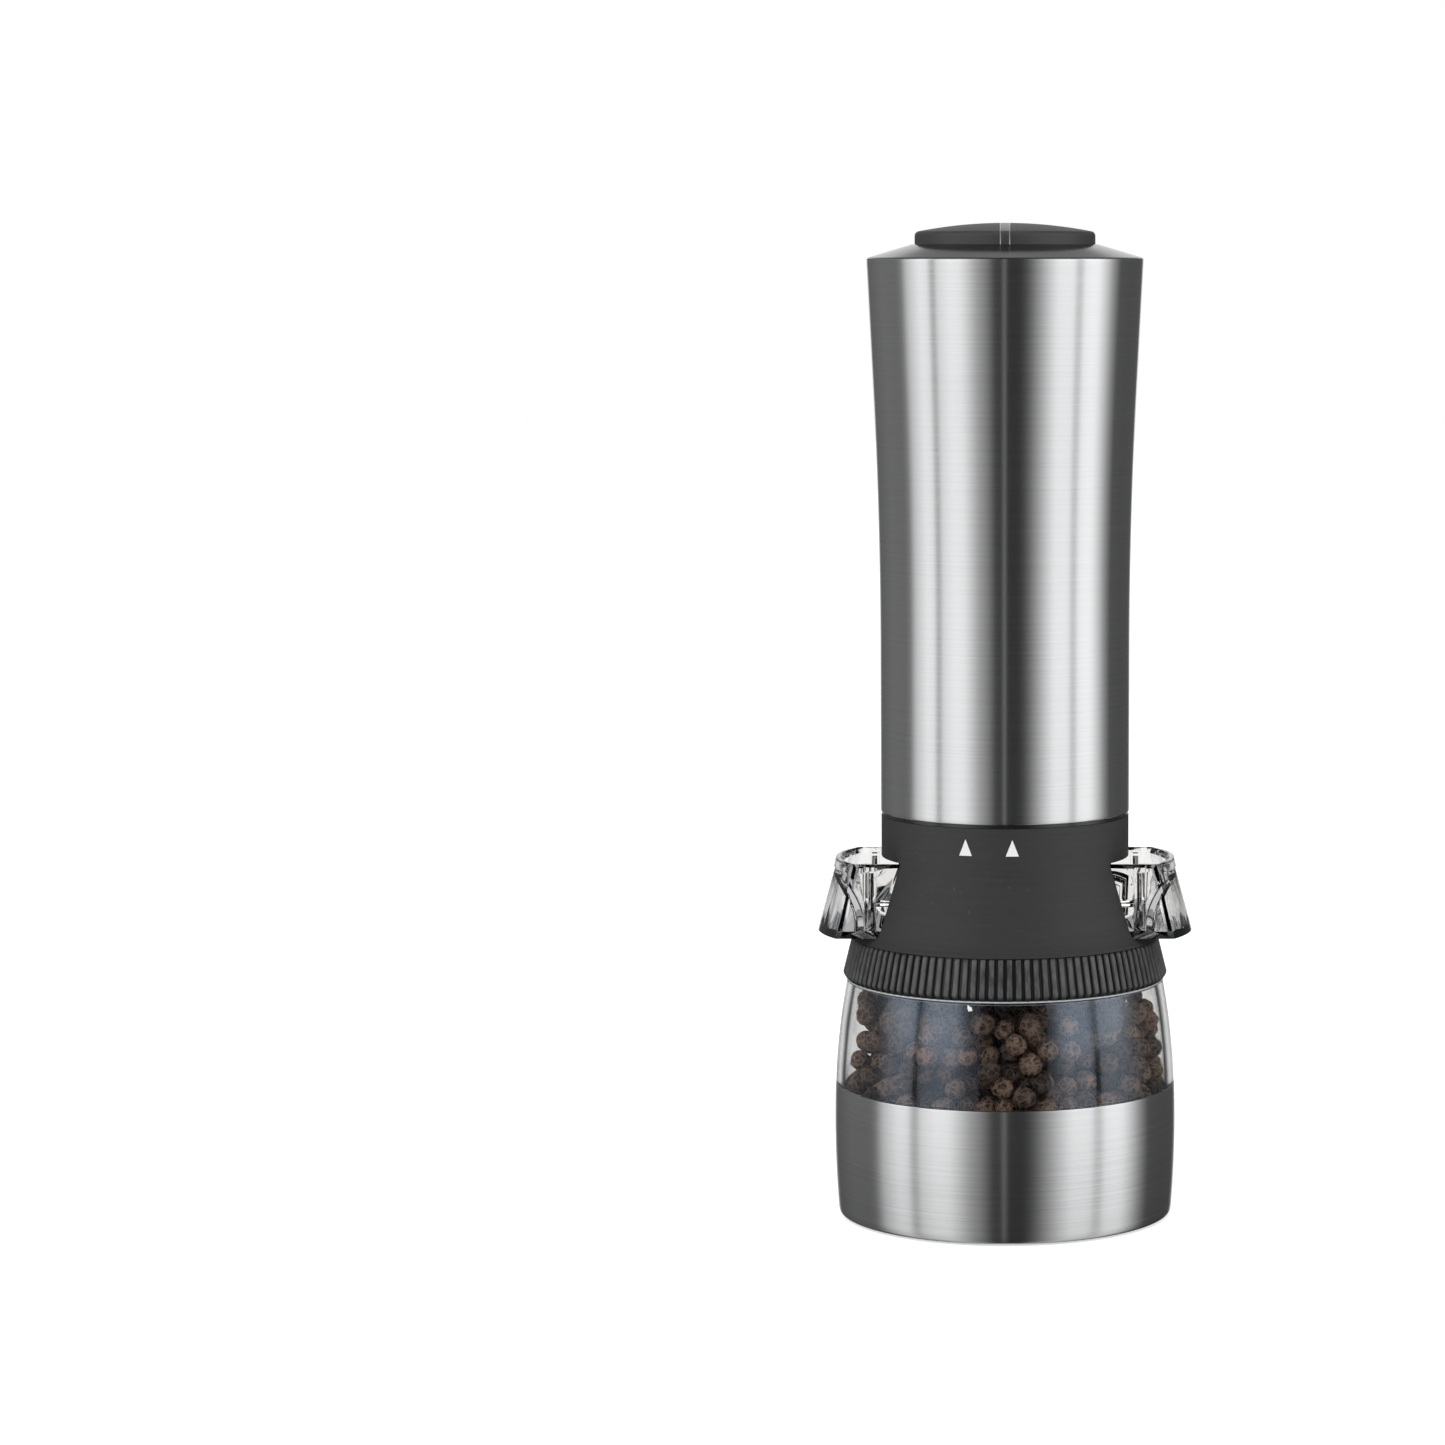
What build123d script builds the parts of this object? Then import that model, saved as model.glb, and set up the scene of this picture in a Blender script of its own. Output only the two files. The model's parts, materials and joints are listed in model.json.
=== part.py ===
from build123d import *
import math
import os

# Battery pepper mill, millimetres, +Z up, standing on Z = 0, axis on Z, front towards -Y.

# ---------- driving dimensions: outside heights, from the table up ----------
BASE_BAND_H = 29.4        # steel base band
GLASS_H = 23.6            # clear container seen above the band
RING_H = 8.9              # knurled locking ring
CONE_H = 17.6             # conical part of the collar
NECK_H = 9.8              # straight part of the collar
SEAL_H = 0.78             # glossy ring between collar and steel body
CAP_RISE = 3.1            # conical cap, above the steel body
BUTTON_RISE = 4.6         # domed button above the cap

# ---------- driving dimensions: outside radii ----------
BASE_R = 38.05            # widest point of the base band
BASE_BULGE_Z = BASE_BAND_H - 8.4   # height of that widest point
BASE_BEND = 250.0         # radius of the band's barrel curve
GLASS_R = BASE_R - 0.1    # widest point of the container's curve
GLASS_BULGE_Z = BASE_BAND_H - 5.8
GLASS_BEND = 155.0
RING_FOOT_R = GLASS_R - 1.85       # crest of the ribs at the ring's foot
RING_TOP_R = RING_FOOT_R - 1.95    # crest of the ribs at the ring's top
COLLAR_HEM_R = RING_TOP_R - 0.15   # collar's flared hem on the ring
COLLAR_HEM_H = 4.2        # where the cone starts to flare, above the ring
COLLAR_FOOT_R = COLLAR_HEM_R - 1.5   # the cone at the drawers' deck
COLLAR_DECK_T = 1.6       # from the ring up to the drawers' deck
NECK_R = 27.5
SEAL_R = NECK_R - 0.2
SLEEVE_R = NECK_R + 0.15  # straight lower part of the steel body
SLEEVE_STRAIGHT_H = 35.8  # how high it stays straight
SLEEVE_BEND = 1150.0      # radius of the curve into the flare
SLEEVE_FLARE = 2.85       # flare, degrees
BUTTON_R = NECK_R - 7.65
BUTTON_DOME_H = 2.0       # height of the dome above its edge
BUTTON_EDGE_R = 1.1

# ---------- walls and clearances ----------
STEEL_WALL = 0.8
GLASS_WALL = 2.0
WALL = 1.8                # moulded plastic
DECK_T = 2.2              # plates inside the head
SEAT = 0.1                # between pieces that only rest on each other
SLIDE_FIT = 0.3           # between sliding pieces
RUN_FIT = 0.06            # radial, between a turning shaft and its hole
TURN_FIT = 0.08           # radial, between the large turning rings

# ---------- lower assembly ----------
FOOT_H = 0.8              # foot ring below the base plate, and the band's curled lip
FOOT_R = (BASE_R - 7.05, BASE_R - 3.05)
BASE_PLATE_T = 3.2
HOLDER_R = 16.45          # burr holder
HOLDER_FOOT_Z = 1.0
HOLDER_LIP = (4.0, 6.5)   # heights of the lip under the outer burr
OUTER_BURR_R = 14.0
BURR_H = 11.0
OUTER_BURR_MOUTH = 9.6    # inner radius at the top
OUTER_BURR_EXIT = 11.7    # inner radius at the bottom
OUTER_BURR_TEETH = 24
THROAT_STEP = 2.4         # funnel hole wider than the burr's mouth
FUNNEL_RIM_DROP = 5.5     # how far the container reaches down inside the band
INNER_BURR_R = 11.3       # radius at the bottom
INNER_BURR_NOSE = 5.2     # radius at the top
INNER_BURR_TEETH = 9
BURR_TRAVEL = 0.7         # coarse to fine
NECK_OUT_R = GLASS_R - 5.95        # threaded neck of the container
NECK_IN_R = NECK_OUT_R - 1.9
SPIGOT_H = 5.5            # collar spigot inside that neck
SCREW_CIRCLE = BASE_R - 12.05
SCREW_R = 1.3
SCREW_HEAD_R = 2.6
SCREW_HEAD_H = 1.6
SCREW_L = 12.0
FILL_TOP = BASE_BAND_H + GLASS_H - 2.5   # level of the peppercorns
FILL_HOLE = 7.0
RIB_COUNT = 112
RIB_DEPTH = 0.75
RIB_CREST = 0.56          # share of the pitch at the crest
RIB_FOOT = 0.72           # and at the foot, where the groove is narrowest
RIB_CHAMFER = (0.6, 1.0)  # depth and height of the ring's lower chamfer

# ---------- marks on the collar ----------
MARK_W = 2.85
MARK_H = 3.6
MARK_FOOT = 1.9           # above the collar's cone
MARK_T = 0.12
LOCK_ANGLE = 3.3          # degrees from the front, towards +X
HEAD_TURN = 21.4          # from the lock mark to the open mark

# ---------- filler drawers ----------
DRAWER_TRAVEL = 9.2
DRAWER_LIP = 0.5          # how far its top stands proud of the neck when shut
DRAWER_INNER_X = 13.0     # inner end when shut
WINDOW_TOP_W = 14.8       # half-width of the collar's window at the top
WINDOW_FOOT_W = 16.8      # and at the bottom
WINDOW_H = 16.6
DRAWER_FLOOR_T = 1.4
DRAWER_RIM_H = 1.9
DRAWER_RIM_OUT = 0.35
POST_X = 19.1             # inner face of the side walls' posts when shut
POST_W = 2.4
POST_D = 2.9              # how deep a post is, wall included
SLOT_W = 1.0              # slot in a post's outer face
SLOT_D = 1.3
RAIL_T = 1.4
CHUTE_FOOT_X = 21.8       # where the chute meets the floor when shut
CHUTE_DROP = 3.4          # from the rim down to the chute's top
CHUTE_BEND = (0.25, 0.55)  # middle of the chute as a share of its run and of its rise
CHUTE_T = 1.4

# ---------- shaft ----------
SHAFT_R = 3.0
SHAFT_HEX_R = 2.6         # across corners / 2, where the inner burr slides
THREAD_R = 2.0
BRIDGE_HUB_R = 6.0
BRIDGE_H = 2.4
BRIDGE_SPOKE_W = 2.6
KNOB_R = 6.5
KNOB_H = 4.0
KNOB_FOOT_Z = 1.4
KNOB_HUB_R = 3.5
KNOB_FLUTES = 8
KNOB_FLUTE_R = 1.6
SHAFT_COLLAR_R = 4.6      # shoulder that the burr's spring pushes against
SHAFT_COLLAR_H = 1.4
SPRING_SPACE = 4.3        # from the funnel's floor up to that shoulder

# ---------- gearbox: two equal planetary stages ----------
HOUSING_R = NECK_R - 5.7
MODULE = HOUSING_R / 27.25         # 0.8 mm teeth in this body
PRESSURE = 25.0           # degrees
SUN_TEETH = 9
PLANET_TEETH = 18
PLANETS = 3
BACKLASH = 0.14
ADDENDUM = 0.8            # in modules
DEDENDUM = 1.05
GEAR_W = 6.5
PIN_R = 1.5
CARRIER_R = 15.5
CARRIER_T = 2.2
AXIAL_GAP = 0.2
BOSS_R = 5.0
BOSS_DROP = 4.0           # how far the output boss stands out below the head
SOCKET_R = 3.0            # shaft's top hexagon, across corners / 2
HEAD_DROP = 5.4           # head's spigot inside the collar

# ---------- motor, batteries, switches ----------
MOTOR_R = 13.75
MOTOR_H = 29.0
MOTOR_SHAFT_R = 1.0
MOTOR_BOSS_R = 3.0
MAGNET_T = 2.1
MAGNET_INSET = (3.5, 4.5) # from the can's floor and from its open end
ARMATURE_R = 10.2
ARMATURE_INSET = (4.5, 6.5)
COMMUTATOR_R = 3.5
COMMUTATOR_GAP = 2.0       # to the end cap
SLOT_FOOT_R = 4.5         # armature slots
SLOT_HALF = 1.3
CAP_PLUG = (1.2, 1.5)     # wall and depth of the end cap's plug
TAB_X = 8.0               # motor terminals
TAB = (0.5, 2.4, 2.2)     # thickness, width and height
SHAFT_END = 0.8           # shaft beyond the end cap
TERMINAL_SPACE = 3.0      # from the end cap's plate up to the battery tray
FRAME_R = NECK_R - 1.1
FRAME_WALL = 1.6
BATTERY_R = 7.15
BATTERY_L = 50.5
BATTERY_NUB = 1.2
BATTERY_NUB_R = 2.7
BATTERY_FIT = 0.25
TRAY_WALL = 2.0
BATTERY_PITCH = 15.0
CONTACT_T = 0.6
CONTACT_SPRING_H = 1.0
CONTACT_SEAT_R = 2.5
CONTACT_REACH = 3.0       # plate beyond the cells' centres
BOARD_R = NECK_R - 5.5
BOARD_T = 1.6
BOARD_STAND = 2.1
STAND_INSET = 3.2         # screw centres from the board's edge
BOARD_HEAD = (1.98, 1.3)  # radius and height of a screw's head
SWITCH_X = 10.0           # switch centres, left and right
SWITCH_W = 6.0
SWITCH_H = 4.0
PLUNGER_R = 1.7
PLUNGER_H = 1.0
BOARD_HOLE_R = 1.1
SWITCH_ROOM = 8.38        # from the board up to the steel body's top, which sets its height
DECK_R = NECK_R - 0.3     # deck and cup under the cap
CAP_SKIRT_H = 6.0
CAP_BORE_FIT = 0.3
BUTTON_SPLIT = 2.2        # gap between the two halves
DIVIDER_W = 1.5
BUTTON_TRAVEL = 1.2
BUTTON_LIP = 1.35
BUTTON_LIP_H = 1.4
BUTTON_CROWN_T = 4.2      # apex down to the flat inside
WIRE_R = 0.4
BUTTON_SPRING_R = 5.2

# ---------- heights worked out from them ----------
Z_RING = BASE_BAND_H + GLASS_H
Z_COLLAR = Z_RING + RING_H + SEAT
Z_DECK = Z_COLLAR + COLLAR_DECK_T
Z_NECK = Z_COLLAR + CONE_H
Z_SEAL = Z_NECK + NECK_H + RUN_FIT
Z_SLEEVE = Z_SEAL + SEAL_H
Z_SHOULDER = Z_RING - SEAT
Z_HEAD = Z_SEAL - HEAD_DROP
Z_GEARBOX = Z_HEAD + DECK_T
Z_STAGE = Z_GEARBOX + WALL + AXIAL_GAP
STAGE_H = CARRIER_T + AXIAL_GAP + GEAR_W + AXIAL_GAP
Z_COVER = Z_STAGE + 2 * STAGE_H + AXIAL_GAP
Z_MOTOR = Z_COVER + DECK_T
Z_MOTOR_END = Z_MOTOR + MOTOR_H
Z_TRAY_DECK = Z_MOTOR_END + DECK_T + TERMINAL_SPACE
Z_CONTACT = Z_TRAY_DECK + DECK_T
Z_BATTERY = Z_CONTACT + CONTACT_T + CONTACT_SPRING_H
Z_FRAME_END = Z_BATTERY + BATTERY_L + CONTACT_T
Z_BOARD = Z_FRAME_END + DECK_T + BOARD_STAND
Z_BOARD_TOP = Z_BOARD + BOARD_T
Z_CAP = Z_BOARD_TOP + SWITCH_ROOM
Z_CAP_UNDER = Z_CAP - STEEL_WALL
Z_BUTTON = Z_CAP + CAP_RISE
Z_APEX = Z_BUTTON + BUTTON_RISE
Z_BURR = HOLDER_LIP[1]
Z_FUNNEL = Z_BURR + BURR_H + SEAT
Z_KNOB_TOP = Z_BURR + BURR_TRAVEL
SUN_PITCH_R = MODULE * SUN_TEETH / 2
PLANET_PITCH_R = MODULE * PLANET_TEETH / 2
RING_TEETH = SUN_TEETH + 2 * PLANET_TEETH
ORBIT_R = SUN_PITCH_R + PLANET_PITCH_R
RING_GEAR_R = HOUSING_R - 1.5
CONE_SLOPE = (COLLAR_FOOT_R - NECK_R) / (Z_NECK - Z_DECK)

os.makedirs("parts", exist_ok=True)


# ---------- general shapes ----------
def lathe(*edges):
    """Solid of revolution about Z; edges are drawn as (radius, height)."""
    return revolve(Plane.XZ * make_face(list(edges)), Axis.Z)


def turned(*points):
    """Solid of revolution with straight sides."""
    return lathe(Polyline(*points, close=True))


def disc(radius, z0, z1, x=0.0, y=0.0):
    return Pos(x, y, z0) * Cylinder(radius, z1 - z0, align=(Align.CENTER, Align.CENTER, Align.MIN))


def ring(r_in, r_out, z0, z1, x=0.0, y=0.0):
    return disc(r_out, z0, z1, x, y) - disc(r_in, z0, z1, x, y)


def block(x0, x1, y0, y1, z0, z1):
    return Pos((x0 + x1) / 2, (y0 + y1) / 2, (z0 + z1) / 2) * Box(x1 - x0, y1 - y0, z1 - z0)


def hexagon(corner_r, z0, z1):
    return extrude(Plane.XY.offset(z0) * RegularPolygon(corner_r, 6), z1 - z0)


def around(count, radius, start=0.0):
    """Centres of count places on a circle."""
    return [(radius * math.cos(math.radians(start + 360 * k / count)),
             radius * math.sin(math.radians(start + 360 * k / count))) for k in range(count)]


def joined(pieces):
    return Compound(children=list(pieces))


def spring(x, y, radius, z0, z1, turns):
    """Round wire coil; its ends lie half a wire inside z0 and z1."""
    height = z1 - z0 - 2 * WIRE_R
    path = Helix(height / turns, height, radius)
    wire = sweep(Plane(origin=path @ 0, z_dir=path % 0) * Circle(WIRE_R), path, is_frenet=True)
    return Pos(x, y, z0 + WIRE_R) * wire


def save(name, shape):
    export_step(shape, f"parts/{name}.step")


# ---------- outlines shared by neighbours ----------
def barrel_r(z, widest, z_widest, bend):
    """Radius of a shallow barrel curve at height z."""
    return widest - bend + math.sqrt(bend ** 2 - (z - z_widest) ** 2)


def barrel_edge(z0, z1, widest, z_widest, bend):
    heights = (z0, (z0 + z1) / 2, z1)
    return ThreePointArc(*[(barrel_r(z, widest, z_widest, bend), z) for z in heights])


def base_r(z, inset=0.0):
    return barrel_r(z, BASE_R - inset, BASE_BULGE_Z, BASE_BEND)


def glass_r(z, inset=0.0):
    return barrel_r(z, GLASS_R - inset, GLASS_BULGE_Z, GLASS_BEND)


def flare_points():
    """Start, middle and end of the curve from the straight body into its flare."""
    half = math.radians(SLEEVE_FLARE / 2)
    z0 = Z_SLEEVE + SLEEVE_STRAIGHT_H
    return [(SLEEVE_R + SLEEVE_BEND * (1 - math.cos(a)), z0 + SLEEVE_BEND * math.sin(a))
            for a in (0.0, half, 2 * half)]


def sleeve_r(z):
    """Outer radius of the flared part of the steel body at height z."""
    r, z_end = flare_points()[2]
    return r + (z - z_end) * math.tan(math.radians(SLEEVE_FLARE))


def cone_r(z):
    """Outer radius of the collar at height z."""
    return NECK_R + max(0.0, Z_NECK - z) * CONE_SLOPE


# ---------- base ----------
def base_sleeve():
    outer = barrel_edge(FOOT_H, BASE_BAND_H, BASE_R, BASE_BULGE_Z, BASE_BEND)
    inner = barrel_edge(FOOT_H, BASE_BAND_H, BASE_R - STEEL_WALL, BASE_BULGE_Z, BASE_BEND)
    lip_r = FOOT_R[1] + SEAT
    foot = Line((base_r(FOOT_H) - FOOT_H, 0), (lip_r, 0))
    edge = ThreePointArc((base_r(FOOT_H), FOOT_H),
                         (base_r(FOOT_H) - 0.29 * FOOT_H, 0.29 * FOOT_H),
                         (base_r(FOOT_H) - FOOT_H, 0))
    lip = Polyline((lip_r, 0), (lip_r, FOOT_H), (base_r(FOOT_H, STEEL_WALL), FOOT_H))
    top = Line((base_r(BASE_BAND_H, STEEL_WALL), BASE_BAND_H), (base_r(BASE_BAND_H), BASE_BAND_H))
    return lathe(outer, top, inner, lip, foot, edge)


def core_r():
    """Outside of the plastic core, clear of the steel band all the way up."""
    return base_r(FOOT_H, STEEL_WALL) - SEAT


def base_core():
    """Plate, wall and foot ring inside the steel band."""
    out_r = core_r()
    top = funnel_rim_z()
    plate_z = FOOT_H + BASE_PLATE_T
    hole_r = HOLDER_R + SEAT / 2
    core = turned((hole_r, FOOT_H), (FOOT_R[0], FOOT_H), (FOOT_R[0], 0), (FOOT_R[1], 0),
                  (FOOT_R[1], FOOT_H), (out_r, FOOT_H), (out_r, top), (out_r - WALL, top),
                  (out_r - WALL, plate_z), (hole_r + WALL, plate_z),
                  (hole_r + WALL, Z_BURR + BURR_H - WALL), (hole_r, Z_BURR + BURR_H - WALL))
    for x, y in around(3, SCREW_CIRCLE, 90):
        core -= disc(SCREW_R + SEAT, FOOT_H, plate_z, x, y)
        core -= disc(SCREW_HEAD_R + SEAT, FOOT_H, plate_z - SCREW_HEAD_H + SEAT, x, y)
    return core


def base_screws():
    seat_z = FOOT_H + BASE_PLATE_T - SCREW_HEAD_H + SEAT
    head_z = seat_z - SCREW_HEAD_H + SEAT
    return joined(disc(SCREW_HEAD_R, head_z, seat_z, x, y) + disc(SCREW_R, seat_z, seat_z + SCREW_L, x, y)
                  - Pos(x, y, head_z) * Box(SCREW_HEAD_R, 0.6, SCREW_HEAD_H / 2)
                  for x, y in around(3, SCREW_CIRCLE, 90))


def burr_holder():
    lip_r = OUTER_BURR_EXIT + 0.7
    return turned((HOLDER_R - 1.4, HOLDER_FOOT_Z), (HOLDER_R, HOLDER_FOOT_Z), (HOLDER_R, Z_FUNNEL - SEAT),
                  (OUTER_BURR_R + SEAT / 2, Z_FUNNEL - SEAT), (OUTER_BURR_R + SEAT / 2, HOLDER_LIP[1]),
                  (lip_r, HOLDER_LIP[1]), (lip_r, HOLDER_LIP[0]), (HOLDER_R - 1.4, HOLDER_LIP[0]))


def outer_burr():
    top = Z_BURR + BURR_H
    burr = turned((OUTER_BURR_EXIT, Z_BURR), (OUTER_BURR_R, Z_BURR), (OUTER_BURR_R, top),
                  (OUTER_BURR_MOUTH, top))
    lean = math.degrees(math.atan((OUTER_BURR_EXIT - OUTER_BURR_MOUTH) / BURR_H))
    groove = Pos((OUTER_BURR_EXIT + OUTER_BURR_MOUTH) / 2, 0, Z_BURR + BURR_H / 2) * Rot(0, -lean, 0) \
        * Rot(0, 0, 45) * Box(0.9, 0.9, 2 * BURR_H)
    return burr - [Rot(0, 0, 360 * k / OUTER_BURR_TEETH) * groove for k in range(OUTER_BURR_TEETH)]


def inner_burr():
    """Cone with slanted grooves, sliding on the shaft's hexagon."""
    top = Z_KNOB_TOP + BURR_H - 1.0
    burr = turned((0, Z_KNOB_TOP), (INNER_BURR_R, Z_KNOB_TOP), (INNER_BURR_R, Z_KNOB_TOP + 0.8),
                  (INNER_BURR_NOSE, top), (0, top))
    lean = math.degrees(math.atan((INNER_BURR_R - INNER_BURR_NOSE) / (BURR_H - 1.8)))
    middle_r = (INNER_BURR_R + INNER_BURR_NOSE) / 2
    groove = Pos(middle_r + 0.5, 0, (Z_KNOB_TOP + top) / 2) * Rot(0, -lean, 0) * Rot(18, 0, 0) \
        * Box(2.2, 1.5, 2 * BURR_H)
    burr -= [Rot(0, 0, 360 * k / INNER_BURR_TEETH) * groove for k in range(INNER_BURR_TEETH)]
    return burr - hexagon(SHAFT_HEX_R + RUN_FIT, Z_KNOB_TOP, top)


def adjust_knob():
    rim_z = KNOB_FOOT_Z + KNOB_H
    knob = disc(KNOB_R, KNOB_FOOT_Z, rim_z) + disc(KNOB_HUB_R, rim_z, Z_KNOB_TOP - RUN_FIT)
    for x, y in around(KNOB_FLUTES, KNOB_R + KNOB_FLUTE_R / 2):
        knob -= disc(KNOB_FLUTE_R, KNOB_FOOT_Z, rim_z, x, y)
    return knob - disc(THREAD_R + RUN_FIT, KNOB_FOOT_Z, Z_KNOB_TOP)


# ---------- container ----------
def funnel_rim_z():
    """Underside of the container where it stands on the base."""
    return BASE_BAND_H - FUNNEL_RIM_DROP


def throat_r():
    """Hole in the funnel above the burrs."""
    return OUTER_BURR_MOUTH + THROAT_STEP


def container():
    """Clear barrel with a funnel floor below and an open neck above."""
    rim_r = base_r(BASE_BAND_H, STEEL_WALL) - SEAT
    rim_z = funnel_rim_z()
    inner_z = BASE_BAND_H - 1.0
    outer = barrel_edge(BASE_BAND_H, Z_SHOULDER, GLASS_R, GLASS_BULGE_Z, GLASS_BEND)
    inner = barrel_edge(inner_z, Z_SHOULDER - GLASS_WALL, GLASS_R - GLASS_WALL, GLASS_BULGE_Z,
                        GLASS_BEND)
    neck_top = Z_COLLAR - 0.8
    neck = Polyline((glass_r(Z_SHOULDER), Z_SHOULDER), (NECK_OUT_R, Z_SHOULDER), (NECK_OUT_R, neck_top),
                    (NECK_IN_R, neck_top), (NECK_IN_R, Z_SHOULDER - GLASS_WALL + 1.0),
                    (glass_r(Z_SHOULDER - GLASS_WALL, GLASS_WALL), Z_SHOULDER - GLASS_WALL))
    corner_r = glass_r(inner_z, GLASS_WALL)
    floor = Polyline((corner_r, inner_z), (corner_r - 1, inner_z - 2),
                     (throat_r(), Z_FUNNEL + GLASS_WALL), (throat_r(), Z_FUNNEL), (HOLDER_R, Z_FUNNEL),
                     (core_r() - WALL - SEAT, rim_z), (rim_r, rim_z), (rim_r, BASE_BAND_H),
                     (glass_r(BASE_BAND_H), BASE_BAND_H))
    bowl = lathe(outer, neck, inner, floor)
    boss_z = FOOT_H + BASE_PLATE_T
    for x, y in around(3, SCREW_CIRCLE, 90):
        bowl += disc(SCREW_HEAD_R + 0.6, boss_z, Z_FUNNEL + 4.2, x, y)
        bowl -= disc(SCREW_R + SEAT / 2, boss_z, boss_z + SCREW_L - 1.0, x, y)
    return bowl


def peppercorn_fill():
    """The heap of peppercorns as one plain solid, clear of the container and the shaft."""
    gap = GLASS_WALL + SLIDE_FIT
    z0 = BASE_BAND_H - 1.0 + SLIDE_FIT
    floor_z = Z_FUNNEL + GLASS_WALL + 3 * SLIDE_FIT
    wall = barrel_edge(z0, FILL_TOP, GLASS_R - gap, GLASS_BULGE_Z, GLASS_BEND)
    rest = Polyline((glass_r(FILL_TOP, gap), FILL_TOP), (FILL_HOLE, FILL_TOP), (FILL_HOLE, floor_z),
                    (throat_r(), floor_z), (glass_r(z0, gap) - 1.4, z0 - 1.5), (glass_r(z0, gap), z0))
    return lathe(wall, rest)


# ---------- knurled locking ring ----------
def ribbed_face(crest_r, z):
    """Outline of the ribs at height z: a flat crest and a narrower groove in every pitch."""
    points = []
    for k in range(RIB_COUNT):
        for step, radius in ((-RIB_FOOT, crest_r - RIB_DEPTH), (-RIB_CREST, crest_r),
                             (RIB_CREST, crest_r), (RIB_FOOT, crest_r - RIB_DEPTH)):
            angle = math.pi * (2 * k + step) / RIB_COUNT
            points.append((radius * math.cos(angle), radius * math.sin(angle)))
    return Plane.XY.offset(z) * make_face(Polyline(*points, close=True))


def knurled_ring():
    edge_z = Z_RING + RIB_CHAMFER[1]
    grip = loft([ribbed_face(RING_FOOT_R - RIB_CHAMFER[0], Z_RING), ribbed_face(RING_FOOT_R, edge_z),
                 ribbed_face(RING_TOP_R, Z_RING + RING_H)], ruled=True)
    return grip - disc(NECK_OUT_R + TURN_FIT, Z_RING, Z_RING + RING_H)


# ---------- collar and its drawers ----------
def window(half_top, half_foot, z0, z1, reach):
    """Prism along X with the window's leaning sides."""
    outline = Polyline((-half_foot, z0), (half_foot, z0), (half_top, z1), (-half_top, z1), close=True)
    return extrude(Plane.YZ * make_face(outline), reach, both=True)


def collar():
    """Straight neck, cone and flared hem, with a window for each drawer."""
    inner_foot = COLLAR_FOOT_R - WALL - 0.2
    spigot_r = NECK_IN_R - 2 * SEAT
    hem_z = Z_COLLAR + COLLAR_HEM_H
    hem = TangentArc((cone_r(hem_z), hem_z), (COLLAR_HEM_R, Z_COLLAR), tangent=(CONE_SLOPE, -1))
    rest = Polyline((COLLAR_HEM_R, Z_COLLAR), (spigot_r, Z_COLLAR), (spigot_r, Z_COLLAR - SPIGOT_H),
                    (spigot_r - WALL, Z_COLLAR - SPIGOT_H), (spigot_r - WALL, Z_DECK), (inner_foot, Z_DECK),
                    (NECK_R - WALL - 0.2, Z_NECK), (NECK_R - WALL - 0.2, Z_NECK + NECK_H),
                    (NECK_R, Z_NECK + NECK_H), (NECK_R, Z_NECK), (cone_r(hem_z), hem_z))
    return lathe(hem, rest) - window(WINDOW_TOP_W, WINDOW_FOOT_W, Z_DECK, Z_DECK + WINDOW_H, 2 * NECK_R)


def alignment_marks():
    """Two printed triangles on the front of the collar, one turn of the lock apart."""
    ink = ring(NECK_R, NECK_R + MARK_T, Z_NECK, Z_NECK + NECK_H)
    foot_z = Z_NECK + MARK_FOOT
    outline = Polyline((-MARK_W / 2, foot_z), (MARK_W / 2, foot_z), (0, foot_z + MARK_H), close=True)
    prism = extrude(Plane.XZ * make_face(outline), 2 * NECK_R)
    return joined(ink & (Rot(0, 0, angle) * prism) for angle in (LOCK_ANGLE, LOCK_ANGLE - HEAD_TURN))


def shaft_bridge():
    """Three-armed bush that steadies the shaft in the collar's spigot."""
    z0 = Z_COLLAR - SPIGOT_H
    rim_r = NECK_IN_R - 2 * SEAT - WALL - SEAT
    bridge = ring(rim_r - 1.6, rim_r, z0, z0 + BRIDGE_H) + disc(BRIDGE_HUB_R, z0 - 1.0, z0 + BRIDGE_H + 1.0)
    for k in range(3):
        bridge += Rot(0, 0, 90 + 120 * k) * block(SHAFT_R + 1, rim_r - 1, -BRIDGE_SPOKE_W / 2,
                                                  BRIDGE_SPOKE_W / 2, z0, z0 + BRIDGE_H)
    return bridge - disc(SHAFT_R + RUN_FIT, z0 - 1.0, z0 + BRIDGE_H + 1.0)


def drawer_cone(inset):
    """Everything inside the drawer's outer face, drawn shut."""
    z0 = Z_DECK
    z1 = Z_DECK + WINDOW_H + 1
    rim_z = Z_DECK + WINDOW_H
    slope = (cone_r(z0) - NECK_R - DRAWER_LIP) / (rim_z - z0)
    return turned((0, z0), (cone_r(z0) - inset, z0), (cone_r(z0) - slope * (z1 - z0) - inset, z1), (0, z1))


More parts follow.
